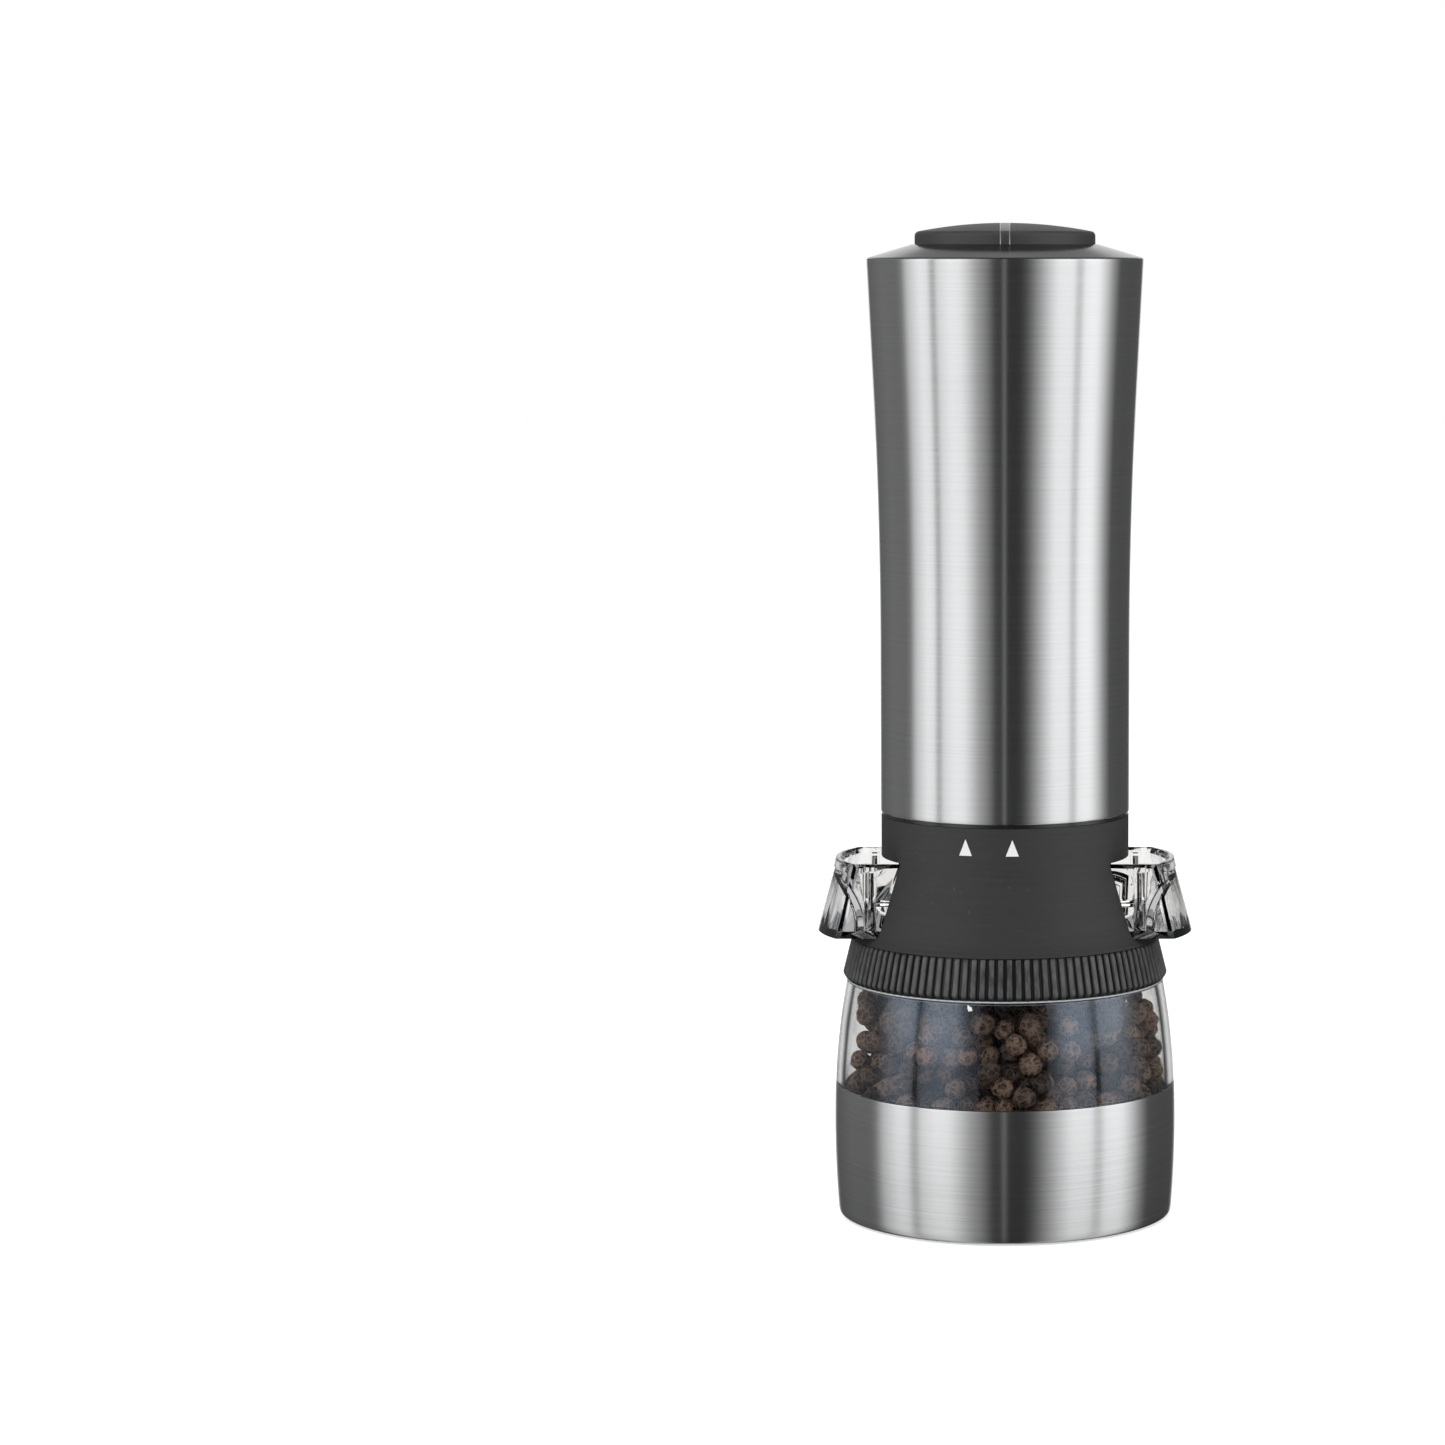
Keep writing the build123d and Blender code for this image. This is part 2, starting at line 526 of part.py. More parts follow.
def drawer():
    """Right-hand drawer, drawn shut: clear walls, a falling chute and an open top."""
    z0 = Z_DECK + SEAT
    z1 = Z_DECK + WINDOW_H - SLIDE_FIT
    floor_z = z0 + DRAWER_FLOOR_T
    slip_top = WINDOW_TOP_W - SLIDE_FIT
    slip_foot = WINDOW_FOOT_W - SLIDE_FIT
    reach = 2 * NECK_R
    outside = window(slip_top, slip_foot, z0, z1, reach) & drawer_cone(0.0) \
        & block(DRAWER_INNER_X, reach, -reach, reach, z0, z1)
    hollow = window(slip_top - WALL, slip_foot - WALL, floor_z, z1 + 1, reach)
    inside = hollow & drawer_cone(WALL)
    top = (cone_r(z1) - WALL / 2, z1 - CHUTE_DROP)
    foot = (CHUTE_FOOT_X, z0 + DRAWER_FLOOR_T / 2)
    middle = (foot[0] + (top[0] - foot[0]) * CHUTE_BEND[0], foot[1] + (top[1] - foot[1]) * CHUTE_BEND[1])
    back = [(x + CHUTE_T, z) for x, z in (foot, middle, top)]
    slab = make_face([ThreePointArc(top, middle, foot), Line(foot, back[0]), ThreePointArc(*back),
                      Line(back[2], top)])
    chute = extrude(Plane.XZ * slab, reach, both=True) & outside
    post_x = (POST_X, POST_X + POST_W)
    posts = outside & block(*post_x, -reach, reach, z0, z1)
    posts -= window(slip_top - POST_D, slip_foot - POST_D, floor_z, z1 + 1, reach)
    rail_z = (z0 + z1) / 2
    rails = outside & block(DRAWER_INNER_X, CHUTE_FOOT_X, -reach, reach, rail_z - RAIL_T, rail_z)
    rails -= window(slip_top - WALL - RAIL_T / 2, slip_foot - WALL - RAIL_T / 2, floor_z, z1 + 1, reach)
    band = window(slip_top, slip_foot, z1 - DRAWER_RIM_H, z1, reach) - inside
    rim = band & drawer_cone(-DRAWER_RIM_OUT) & block(NECK_R - WALL, reach, -reach, reach, z0, z1)
    body = (outside - inside) + chute + posts + rails + rim
    slot_x = (POST_X + (POST_W - SLOT_W) / 2, POST_X + (POST_W + SLOT_W) / 2)
    slots = block(*slot_x, -reach, reach, floor_z + POST_W / 2, z1 - DRAWER_RIM_H)
    return body - (slots - window(slip_top - SLOT_D, slip_foot - SLOT_D, z0, z1, reach))


# ---------- gears ----------
def involute_gap(angle):
    return math.tan(angle) - angle


def gear_outline(teeth, addendum, dedendum, backlash):
    """Outline of an involute gear with a tooth centred on +X."""
    pitch_r = MODULE * teeth / 2
    base_radius = pitch_r * math.cos(math.radians(PRESSURE))
    root_r = pitch_r - dedendum * MODULE
    tip_r = pitch_r + addendum * MODULE
    half_pitch = math.pi / (2 * teeth) - backlash / (2 * pitch_r) + involute_gap(math.radians(PRESSURE))
    start_r = max(root_r, base_radius * 1.0001)
    flank = [(radius, half_pitch - involute_gap(math.acos(base_radius / radius)))
             for radius in (start_r, pitch_r, tip_r)]
    if root_r < start_r:
        flank.insert(0, (root_r, flank[0][1]))
    points = []
    for k in range(teeth):
        middle = 2 * math.pi * k / teeth
        sides = [(r, middle - a) for r, a in flank] + [(r, middle + a) for r, a in reversed(flank)]
        points += [(r * math.cos(a), r * math.sin(a)) for r, a in sides]
    return make_face(Polyline(*points, close=True))


def gear(teeth, z0, width):
    outline = gear_outline(teeth, ADDENDUM, DEDENDUM, BACKLASH)
    return extrude(Plane.XY.offset(z0) * outline, width)


def ring_gear():
    z0 = Z_GEARBOX + WALL
    bore = Rot(0, 0, 180 / RING_TEETH) * gear_outline(RING_TEETH, DEDENDUM, ADDENDUM, -BACKLASH)
    return disc(RING_GEAR_R, z0, Z_COVER) - extrude(Plane.XY.offset(z0) * bore, Z_COVER - z0)


def stage_z(stage):
    """Underside of a stage's carrier plate; stage 2 drives the shaft and lies lowest."""
    return Z_STAGE + (2 - stage) * STAGE_H


def gear_z(stage):
    return stage_z(stage) + CARRIER_T + AXIAL_GAP


def planet_gear(stage, number):
    """Planet in mesh at rest: one gap takes a tooth of the sun, the opposite one a tooth of the ring."""
    half_tooth = 180 / PLANET_TEETH
    z0 = gear_z(stage)
    wheel = gear(PLANET_TEETH, z0, GEAR_W) - disc(PIN_R + RUN_FIT, z0, z0 + GEAR_W)
    return Rot(0, 0, 360 * number / PLANETS) * Pos(ORBIT_R, 0, 0) * Rot(0, 0, half_tooth) * wheel


def carrier(stage):
    z0 = stage_z(stage)
    plate = disc(CARRIER_R, z0, z0 + CARRIER_T)
    for x, y in around(PLANETS, ORBIT_R):
        plate += disc(PIN_R, z0 + CARRIER_T, gear_z(stage) + GEAR_W + AXIAL_GAP / 2, x, y)
    return plate


def first_carrier():
    """Carries the upper planets, and the lower stage's sun below."""
    z0 = stage_z(1)
    return carrier(1) + gear(SUN_TEETH, gear_z(2) + AXIAL_GAP, z0 - gear_z(2) - AXIAL_GAP)


def output_carrier():
    boss_z = Z_HEAD - BOSS_DROP
    body = carrier(2) + disc(BOSS_R, boss_z, stage_z(2))
    return body - hexagon(SOCKET_R + RUN_FIT, boss_z, stage_z(2) - SEAT)


def motor_pinion():
    z0 = gear_z(1) + AXIAL_GAP
    return gear(SUN_TEETH, z0, GEAR_W - AXIAL_GAP) - disc(MOTOR_SHAFT_R, z0, z0 + GEAR_W)


def spring_seat_z():
    return Z_FUNNEL + GLASS_WALL + SPRING_SPACE


def drive_shaft():
    z_hex = spring_seat_z()
    z_top = Z_HEAD - BOSS_DROP
    shaft = disc(THREAD_R, KNOB_FOOT_Z + SEAT, Z_KNOB_TOP) + hexagon(SHAFT_HEX_R, Z_KNOB_TOP, z_hex)
    shaft += disc(SHAFT_R, z_hex, z_top) + disc(SHAFT_COLLAR_R, z_hex, z_hex + SHAFT_COLLAR_H)
    return shaft + hexagon(SOCKET_R, z_top, stage_z(2) - 2 * SEAT)


def burr_spring():
    top = Z_KNOB_TOP + BURR_H - 1.0
    return spring(0, 0, SHAFT_R + 0.8, top, spring_seat_z(), 4)


# ---------- head: gearbox and motor ----------
def seal_ring():
    return ring(NECK_R - WALL - 0.2 - TURN_FIT, SEAL_R, Z_SEAL, Z_SLEEVE)


def head_base():
    """Cup that plugs into the collar's neck."""
    out_r = NECK_R - WALL - 0.2 - TURN_FIT
    return turned((BOSS_R + RUN_FIT, Z_HEAD), (out_r, Z_HEAD), (out_r, Z_SLEEVE), (out_r - WALL, Z_SLEEVE),
                  (out_r - WALL, Z_GEARBOX), (BOSS_R + RUN_FIT, Z_GEARBOX))


def gearbox_housing():
    hole = BOSS_R + SLIDE_FIT
    floor_z = Z_GEARBOX + WALL
    return turned((hole, Z_GEARBOX), (HOUSING_R, Z_GEARBOX), (HOUSING_R, Z_COVER), (RING_GEAR_R, Z_COVER),
                  (RING_GEAR_R, floor_z), (hole, floor_z))


def gearbox_cover():
    return ring(MOTOR_BOSS_R + SEAT, HOUSING_R, Z_COVER, Z_MOTOR)


def motor_can():
    hole = MOTOR_SHAFT_R + RUN_FIT
    inner_r = MOTOR_R - STEEL_WALL
    floor_z = Z_MOTOR + STEEL_WALL
    return turned((hole, Z_COVER), (MOTOR_BOSS_R, Z_COVER), (MOTOR_BOSS_R, Z_MOTOR), (MOTOR_R, Z_MOTOR),
                  (MOTOR_R, Z_MOTOR_END), (inner_r, Z_MOTOR_END), (inner_r, floor_z), (hole, floor_z))


def motor_magnets():
    outer_r = MOTOR_R - STEEL_WALL
    shell = ring(outer_r - MAGNET_T, outer_r, Z_MOTOR + MAGNET_INSET[0], Z_MOTOR_END - MAGNET_INSET[1])
    gap = Rot(0, 0, 90) * Box(2 * MOTOR_R, MOTOR_R, 2 * MOTOR_H + 2 * Z_MOTOR_END)
    return shell - gap


def motor_end_cap():
    hole = MOTOR_SHAFT_R + RUN_FIT
    plug = MOTOR_R - STEEL_WALL - SEAT / 2
    plug_in = plug - CAP_PLUG[0]
    plug_z = Z_MOTOR_END - CAP_PLUG[1]
    z1 = Z_MOTOR_END + DECK_T
    cap = turned((hole, Z_MOTOR_END), (plug_in, Z_MOTOR_END), (plug_in, plug_z), (plug, plug_z),
                 (plug, Z_MOTOR_END), (MOTOR_R, Z_MOTOR_END), (MOTOR_R, z1), (hole, z1))
    half_t, half_w = TAB[0] / 2, TAB[1] / 2
    tabs = [block(x - half_t, x + half_t, -half_w, half_w, z1, z1 + TAB[2]) for x in (-TAB_X, TAB_X)]
    return cap + tabs


def motor_armature():
    z0 = Z_MOTOR + ARMATURE_INSET[0]
    z1 = Z_MOTOR_END - ARMATURE_INSET[1]
    body = disc(ARMATURE_R, z0, z1) + disc(COMMUTATOR_R, z1, Z_MOTOR_END - COMMUTATOR_GAP)
    for k in range(3):
        slot = block(SLOT_FOOT_R, ARMATURE_R + 1, -SLOT_HALF, SLOT_HALF, z0, z1)
        body -= Rot(0, 0, 60 + 120 * k) * slot
    return body - disc(MOTOR_SHAFT_R, z0, Z_MOTOR_END)


def motor_shaft():
    return disc(MOTOR_SHAFT_R, gear_z(1) + AXIAL_GAP, Z_MOTOR_END + DECK_T + SHAFT_END)


# ---------- head: frame and batteries ----------
def inner_frame():
    """Tube inside the steel body, with the battery deck and ribs that hold the gearbox."""
    in_r = FRAME_R - FRAME_WALL
    frame = ring(in_r, FRAME_R, Z_SLEEVE, Z_FRAME_END) + disc(in_r + 0.5, Z_TRAY_DECK, Z_CONTACT)
    for k in range(3):
        frame += Rot(0, 0, 30 + 120 * k) * block(HOUSING_R + SEAT, in_r + 0.5, -1, 1, Z_SLEEVE, Z_MOTOR)
    return frame


def battery_places():
    half = BATTERY_PITCH / 2
    return [(-half, -half), (half, -half), (half, half), (-half, half)]


def battery_tray():
    z0, z1 = Z_CONTACT + CONTACT_T, Z_BATTERY + BATTERY_L
    tray = disc(BATTERY_PITCH / math.sqrt(2) + BATTERY_R + TRAY_WALL, z0, z1)
    for x, y in battery_places():
        tray -= disc(BATTERY_R + BATTERY_FIT, z0, z1, x, y)
    return tray


def battery(number):
    """Cells stand alternately nub up and nub down."""
    x, y = battery_places()[number]
    shoulder = BATTERY_L - BATTERY_NUB
    cell = disc(BATTERY_R, 0, shoulder) + disc(BATTERY_NUB_R, shoulder, BATTERY_L)
    if number % 2:
        cell = Pos(0, 0, BATTERY_L) * Rot(180, 0, 0) * cell
    return Pos(x, y, Z_BATTERY) * cell


def contacts(z0, pairs, spring_h):
    """Thin plates that join pairs of cells, each with a raised seat per cell."""
    plates = []
    for pair in pairs:
        (x0, y0), (x1, y1) = [battery_places()[k] for k in pair]
        plate = block(min(x0, x1) - CONTACT_REACH, max(x0, x1) + CONTACT_REACH,
                      min(y0, y1) - CONTACT_REACH, max(y0, y1) + CONTACT_REACH, z0, z0 + CONTACT_T)
        if spring_h:
            top_z = z0 + CONTACT_T
            plate += [disc(CONTACT_SEAT_R, top_z, top_z + spring_h, x, y) for x, y in ((x0, y0), (x1, y1))]
        plates.append(plate)
    return joined(plates)


# ---------- head: switches, cap and buttons ----------
def stand_places():
    return around(4, BOARD_R - STAND_INSET, 45)


def switch_deck():
    """Cup on top of the frame that carries the switch board and the cap."""
    floor_z = Z_FRAME_END + DECK_T
    inner_r = DECK_R - FRAME_WALL
    deck = turned((0, Z_FRAME_END), (DECK_R, Z_FRAME_END), (DECK_R, Z_CAP_UNDER), (inner_r, Z_CAP_UNDER),
                  (inner_r, floor_z), (0, floor_z))
    deck += [disc(2 * BOARD_HOLE_R, floor_z, Z_BOARD, x, y) for x, y in stand_places()]
    return deck - [disc(BOARD_HOLE_R, floor_z, Z_BOARD, x, y) for x, y in stand_places()]


def switch_board():
    holes = [disc(BOARD_HOLE_R, Z_BOARD, Z_BOARD_TOP, x, y) for x, y in stand_places()]
    return disc(BOARD_R, Z_BOARD, Z_BOARD_TOP) - holes


def board_screws():
    foot_z = Z_BOARD - BOARD_STAND + SLIDE_FIT
    return joined(disc(BOARD_HEAD[0], Z_BOARD_TOP, Z_BOARD_TOP + BOARD_HEAD[1], x, y)
                  + disc(BOARD_HOLE_R - SEAT / 2, foot_z, Z_BOARD_TOP, x, y) for x, y in stand_places())


def switch(side):
    half = SWITCH_W / 2
    body_top = Z_BOARD_TOP + SWITCH_H
    body = block(-half, half, -half, half, Z_BOARD_TOP, body_top)
    return Pos(side * SWITCH_X, 0, 0) * (body + disc(PLUNGER_R, body_top, body_top + PLUNGER_H))


def top_cap():
    """Shallow black cone with a bore for the buttons and a skirt inside the steel body."""
    bore_r = BUTTON_R + CAP_BORE_FIT
    rim_r = sleeve_r(Z_CAP)
    skirt_z = Z_CAP - CAP_SKIRT_H
    skirt_r = sleeve_r(skirt_z) - STEEL_WALL - SEAT
    skirt_in = DECK_R + SEAT
    return turned((bore_r, Z_CAP_UNDER), (skirt_in, Z_CAP_UNDER), (skirt_in, skirt_z), (skirt_r, skirt_z),
                  (skirt_r, Z_CAP), (rim_r, Z_CAP), (bore_r, Z_BUTTON))


def dome(radius, z0):
    """Full round button with its domed top and rounded edge."""
    edge_z = Z_APEX - BUTTON_DOME_H
    bend = (radius ** 2 + BUTTON_DOME_H ** 2) / (2 * BUTTON_DOME_H)
    half = radius / 2
    half_z = Z_APEX - bend + math.sqrt(bend ** 2 - half ** 2)
    outline = make_face([ThreePointArc((0, Z_APEX), (half, half_z), (radius, edge_z)),
                         Polyline((radius, edge_z), (radius, z0), (0, z0), (0, Z_APEX))])
    corner = outline.vertices().group_by(Axis.X)[-1].sort_by(Axis.Y)[-1]
    return revolve(Plane.XZ * fillet(corner, BUTTON_EDGE_R), Axis.Z)


def button_foot_z():
    """Underside of the lip that keeps the buttons in the cap."""
    return Z_CAP_UNDER - SEAT - BUTTON_LIP_H


def button_roof_z():
    """Flat ceiling inside the buttons."""
    return Z_APEX - BUTTON_CROWN_T


def button_pair_solid():
    """Both halves in one piece: dome, skirt, lip under the cap and the switch posts."""
    foot_z = button_foot_z()
    body = dome(BUTTON_R, foot_z) + disc(BUTTON_R + BUTTON_LIP, foot_z, foot_z + BUTTON_LIP_H)
    return body - disc(BUTTON_R - WALL, foot_z, button_roof_z())


def button(side):
    """One half-moon; side is -1 for left and +1 for right."""
    reach = 2 * BUTTON_R
    x0 = BUTTON_SPLIT / 2
    half = button_pair_solid() & block(x0, reach, -reach, reach, Z_BOARD_TOP, Z_APEX)
    web_y = math.sqrt((BUTTON_R - WALL / 2) ** 2 - (x0 + WALL) ** 2)
    half += block(x0, x0 + WALL, -web_y, web_y, button_foot_z(), button_roof_z())
    post_z = Z_BOARD_TOP + SWITCH_H + PLUNGER_H + BUTTON_TRAVEL + SEAT
    half += disc(PLUNGER_R + SLIDE_FIT, post_z, button_roof_z(), SWITCH_X, 0)
    return half if side > 0 else Rot(0, 0, 180) * half


def button_spring(side):
    return spring(side * SWITCH_X, 0, BUTTON_SPRING_R, Z_BOARD_TOP, button_roof_z(), 5)


def button_divider():
    """Rib between the two halves, level with the dome."""
    half_y = BUTTON_R + CAP_BORE_FIT / 2
    slab = block(-DIVIDER_W / 2, DIVIDER_W / 2, -half_y, half_y, Z_BOARD_TOP, Z_APEX)
    return slab & dome(half_y, Z_BOARD_TOP)


def body_sleeve():
    """Steel body: straight, then a long curve into a slight flare."""
    outer = flare_points()
    inner = [(r - STEEL_WALL, z) for r, z in outer]
    top_r = sleeve_r(Z_CAP)
    return lathe(Line((SLEEVE_R, Z_SLEEVE), outer[0]), ThreePointArc(*outer),
                 Line(outer[2], (top_r, Z_CAP)), Line((top_r, Z_CAP), (top_r - STEEL_WALL, Z_CAP)),
                 Line((top_r - STEEL_WALL, Z_CAP), inner[2]), ThreePointArc(*inner[::-1]),
                 Line(inner[0], (SLEEVE_R - STEEL_WALL, Z_SLEEVE)),
                 Line((SLEEVE_R - STEEL_WALL, Z_SLEEVE), (SLEEVE_R, Z_SLEEVE)))


# ---------- all sub-parts ----------
for name, shape in {
    "base_sleeve": base_sleeve(),
    "base_core": base_core(),
    "base_screws": base_screws(),
    "burr_holder": burr_holder(),
    "outer_burr": outer_burr(),
    "inner_burr": inner_burr(),
    "adjust_knob": adjust_knob(),
    "burr_spring": burr_spring(),
    "container": container(),
    "peppercorn_fill": peppercorn_fill(),
    "knurled_ring": knurled_ring(),
    "collar": collar(),
    "alignment_marks": alignment_marks(),
    "shaft_bridge": shaft_bridge(),
    "right_drawer": Pos(DRAWER_TRAVEL, 0, 0) * drawer(),
    "left_drawer": Rot(0, 0, 180) * Pos(DRAWER_TRAVEL, 0, 0) * drawer(),
    "drive_shaft": drive_shaft(),
    "output_carrier": output_carrier(),
    "first_carrier": first_carrier(),
    "ring_gear": ring_gear(),
    "motor_pinion": motor_pinion(),
    "seal_ring": seal_ring(),
    "head_base": head_base(),
    "gearbox_housing": gearbox_housing(),
    "gearbox_cover": gearbox_cover(),
    "motor_can": motor_can(),
    "motor_magnets": motor_magnets(),
    "motor_end_cap": motor_end_cap(),
    "motor_armature": motor_armature(),
    "motor_shaft": motor_shaft(),
    "inner_frame": inner_frame(),
    "battery_tray": battery_tray(),
    "lower_contacts": contacts(Z_CONTACT, ((0, 1), (2, 3)), CONTACT_SPRING_H),
    "upper_contacts": contacts(Z_BATTERY + BATTERY_L, ((1, 2), (0, 3)), 0),
    "switch_deck": switch_deck(),
    "switch_board": switch_board(),
    "board_screws": board_screws(),
    "left_switch": switch(-1),
    "right_switch": switch(1),
    "left_button_spring": button_spring(-1),
    "right_button_spring": button_spring(1),
    "left_button": button(-1),
    "right_button": button(1),
    "button_divider": button_divider(),
    "top_cap": top_cap(),
    "body_sleeve": body_sleeve(),
}.items():
    save(name, shape)

for stage in (1, 2):
    for number in range(PLANETS):
        save(f"stage_{stage}_planet_{number + 1}", planet_gear(stage, number))
for number in range(4):
    save(f"battery_{number + 1}", battery(number))
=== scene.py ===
import json
import math

import bmesh
import bpy
import numpy as np
from mathutils import Matrix, Vector


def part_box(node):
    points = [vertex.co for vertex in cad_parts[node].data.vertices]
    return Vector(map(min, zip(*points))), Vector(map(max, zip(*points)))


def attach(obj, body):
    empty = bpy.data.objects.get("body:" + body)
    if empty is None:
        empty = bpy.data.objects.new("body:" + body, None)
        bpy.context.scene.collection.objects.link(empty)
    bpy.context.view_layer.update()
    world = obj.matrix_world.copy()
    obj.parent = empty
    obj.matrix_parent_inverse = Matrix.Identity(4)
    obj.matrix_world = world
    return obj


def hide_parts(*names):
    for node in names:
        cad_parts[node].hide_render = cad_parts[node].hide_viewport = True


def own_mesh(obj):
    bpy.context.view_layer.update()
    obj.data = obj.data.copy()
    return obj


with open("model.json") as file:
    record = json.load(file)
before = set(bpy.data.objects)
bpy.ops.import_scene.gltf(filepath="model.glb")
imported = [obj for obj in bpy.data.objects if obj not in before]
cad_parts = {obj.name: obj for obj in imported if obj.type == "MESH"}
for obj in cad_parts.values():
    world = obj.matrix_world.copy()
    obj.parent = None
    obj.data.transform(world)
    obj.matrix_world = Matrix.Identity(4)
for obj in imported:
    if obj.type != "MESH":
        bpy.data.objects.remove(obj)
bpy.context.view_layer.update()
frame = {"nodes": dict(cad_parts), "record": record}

# ---------- places, from the frame ----------
BASE_LO, BASE_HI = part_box("base_sleeve")
BODY_LO, BODY_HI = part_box("body_sleeve")
BOWL_LO, BOWL_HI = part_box("container")
RING_LO, RING_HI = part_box("knurled_ring")
CAP_LO, CAP_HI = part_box("top_cap")
FILL_TOP_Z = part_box("peppercorn_fill")[1].z
DRAWER_FOOT_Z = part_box("right_drawer")[0].z

# ---------- sizes ----------
MM = 0.001
SEGMENTS = 256                  # faces round the axis
STEEL_WALL = 0.8 * MM
GLASS_WALL = 2.0 * MM
DRAWER_FLOOR = 1.4 * MM         # the thick plate under each drawer
CORN_R = 2.45 * MM
SHAFT_ROOM = 4.0 * MM           # corns stay this far from the axis
HIDDEN_R = 10.0 * MM            # corns nearer to the axis can't be seen and are left out
CLEARANCE = 0.1 * MM            # between shown pieces

BAND_R = BASE_HI.y - 0.003 * MM             # steel band of the base, at its widest
BAND_BULGE_Z = BASE_HI.z - 8.4 * MM
BAND_BEND = 250 * MM
BAND_LIP_R, BAND_LIP_H = 35.1 * MM, 0.8 * MM    # the edge folded in under the band

SLEEVE_R = 27.65 * MM                       # steel body: straight, then bent out to a flare
STRAIGHT_H = 35.8 * MM
FLARE = math.radians(2.85)
SLEEVE_BEND = 1150 * MM

BOWL_R = BAND_R - CLEARANCE                    # clear container, outside and at its widest
BOWL_BULGE_Z = BASE_HI.z - 5.8 * MM
BOWL_BEND = 155 * MM
SHOULDER_Z = RING_LO.z - CLEARANCE
SHOULDER_T = 1.1 * MM                       # from the shoulder down to the ceiling inside
NECK_R, NECK_BORE = 32.0 * MM, 30.1 * MM
GRINDER_R, GRINDER_SEAT_R = 12.0 * MM, 16.45 * MM       # the hole in the container's floor and its seat
GRINDER_TOP_Z, GRINDER_FOOT_Z = 19.6 * MM, 17.6 * MM
SKIRT_H = 6.3 * MM                          # foot of the skirt inside the band, above the lowest point
CEILING_LINE_IN = 2.1 * MM                  # the lower painted highlight line, inwards and down from the shoulder
CEILING_LINE_DOWN = 1.15 * MM

RING_WIDEST, RING_NARROW = 36.1 * MM, 34.15 * MM        # crest radius above the chamfer and at the top
RING_CHAMFER, RING_CHAMFER_H = 0.6 * MM, 1.0 * MM
RING_BORE = 32.08 * MM
RING_LEAN = (RING_NARROW - RING_WIDEST) / (RING_HI.z - RING_LO.z - RING_CHAMFER_H)
RING_CREST = RING_NARROW - RING_LEAN * RING_HI.z        # crest radius carried down to z = 0
RIBS = 112
RIB_DEPTH = 0.75 * MM
RIB_STEPS = 14                  # points along one pitch
GROOVE_START, GROOVE_END = 0.44, 0.86       # where the groove's wall starts and ends, 1 in its middle

CAP_BORE = 20.15 * MM
CAP_SKIRT_BORE = 27.3 * MM

MARK_LIFT = 1.95 * MM           # the marks sit higher in the photograph than their CAD node
DIVIDER_SPREAD = 1.36           # the divider's rib is drawn this much wider than its CAD node


# ---------- node helpers ----------
def node(tree, kind, inputs=None, **props):
    """A shader node; its inputs are sockets to link or values to set."""
    n = tree.nodes.new("ShaderNode" + kind)
    for key, value in props.items():
        setattr(n, key, value)
    for key, value in (inputs or {}).items():
        if isinstance(value, bpy.types.NodeSocket):
            tree.links.new(value, n.inputs[key])
        else:
            n.inputs[key].default_value = value
    return n


def grey(v):
    return (v, v, v, 1.0)


def new_material(name):
    m = bpy.data.materials.new(name)
    m.use_nodes = True
    m.node_tree.nodes.clear()
    return m, m.node_tree


def close(tree, shader):
    """Ends a material in shader and returns its output node."""
    out = tree.nodes.new("ShaderNodeOutputMaterial")
    tree.links.new(shader, out.inputs["Surface"])
    return out


def ramp(tree, fac, stops):
    """Colour along stops of (position, colour or grey level)."""
    r = node(tree, "ValToRGB", {"Fac": fac})
    elements = r.color_ramp.elements
    while len(elements) < len(stops):
        elements.new(0.5)
    for element, (position, colour) in zip(elements, stops):
        element.position = position
        element.color = colour if hasattr(colour, "__len__") else grey(colour)
    return r.outputs["Color"]


def scaled(tree, scale):
    """Object coordinates, in metres, times scale along each axis."""
    co = node(tree, "TexCoord").outputs["Object"]
    return node(tree, "Mapping", {"Vector": co, "Scale": scale}).outputs["Vector"]


def mottle(tree, scale, detail, rough):
    """Noise value over the object; scale in cells per metre along x, y and z."""
    vector = scaled(tree, scale)
    return node(tree, "TexNoise", {"Vector": vector, "Scale": 1.0, "Detail": detail,
                                   "Roughness": rough}).outputs["Fac"]


def span(tree, value, low, high, lo_in=0.25, hi_in=0.75):
    """The value's range from lo_in to hi_in carried over to low to high."""
    return node(tree, "MapRange", {"Value": value, "From Min": lo_in, "From Max": hi_in,
                                   "To Min": low, "To Max": high}).outputs["Result"]


def falling(tree, value, start, end, low=0.0):
    """1 up to start, falling smoothly to low at end; start may also lie above end."""
    return node(tree, "MapRange", {"Value": value, "From Min": start, "From Max": end, "To Min": 1.0,
                                   "To Max": low}, interpolation_type="SMOOTHSTEP").outputs[0]


def calc(tree, operation, *values):
    """Result of one Math node."""
    return node(tree, "Math", dict(enumerate(values)), operation=operation).outputs[0]


def times(tree, a, b):
    return calc(tree, "MULTIPLY", a, b)


def bumped(tree, height, distance, strength):
    return node(tree, "Bump", {"Height": height, "Distance": distance,
                               "Strength": strength}).outputs["Normal"]


def blended(tree, share, first, second):
    """Colour that goes from first to second as share goes from 0 to 1."""
    return node(tree, "Mix", {0: share, 6: first, 7: second}, data_type="RGBA").outputs[2]


def tinted(tint, level):
    return tuple(c * level for c in tint) + (1.0,)


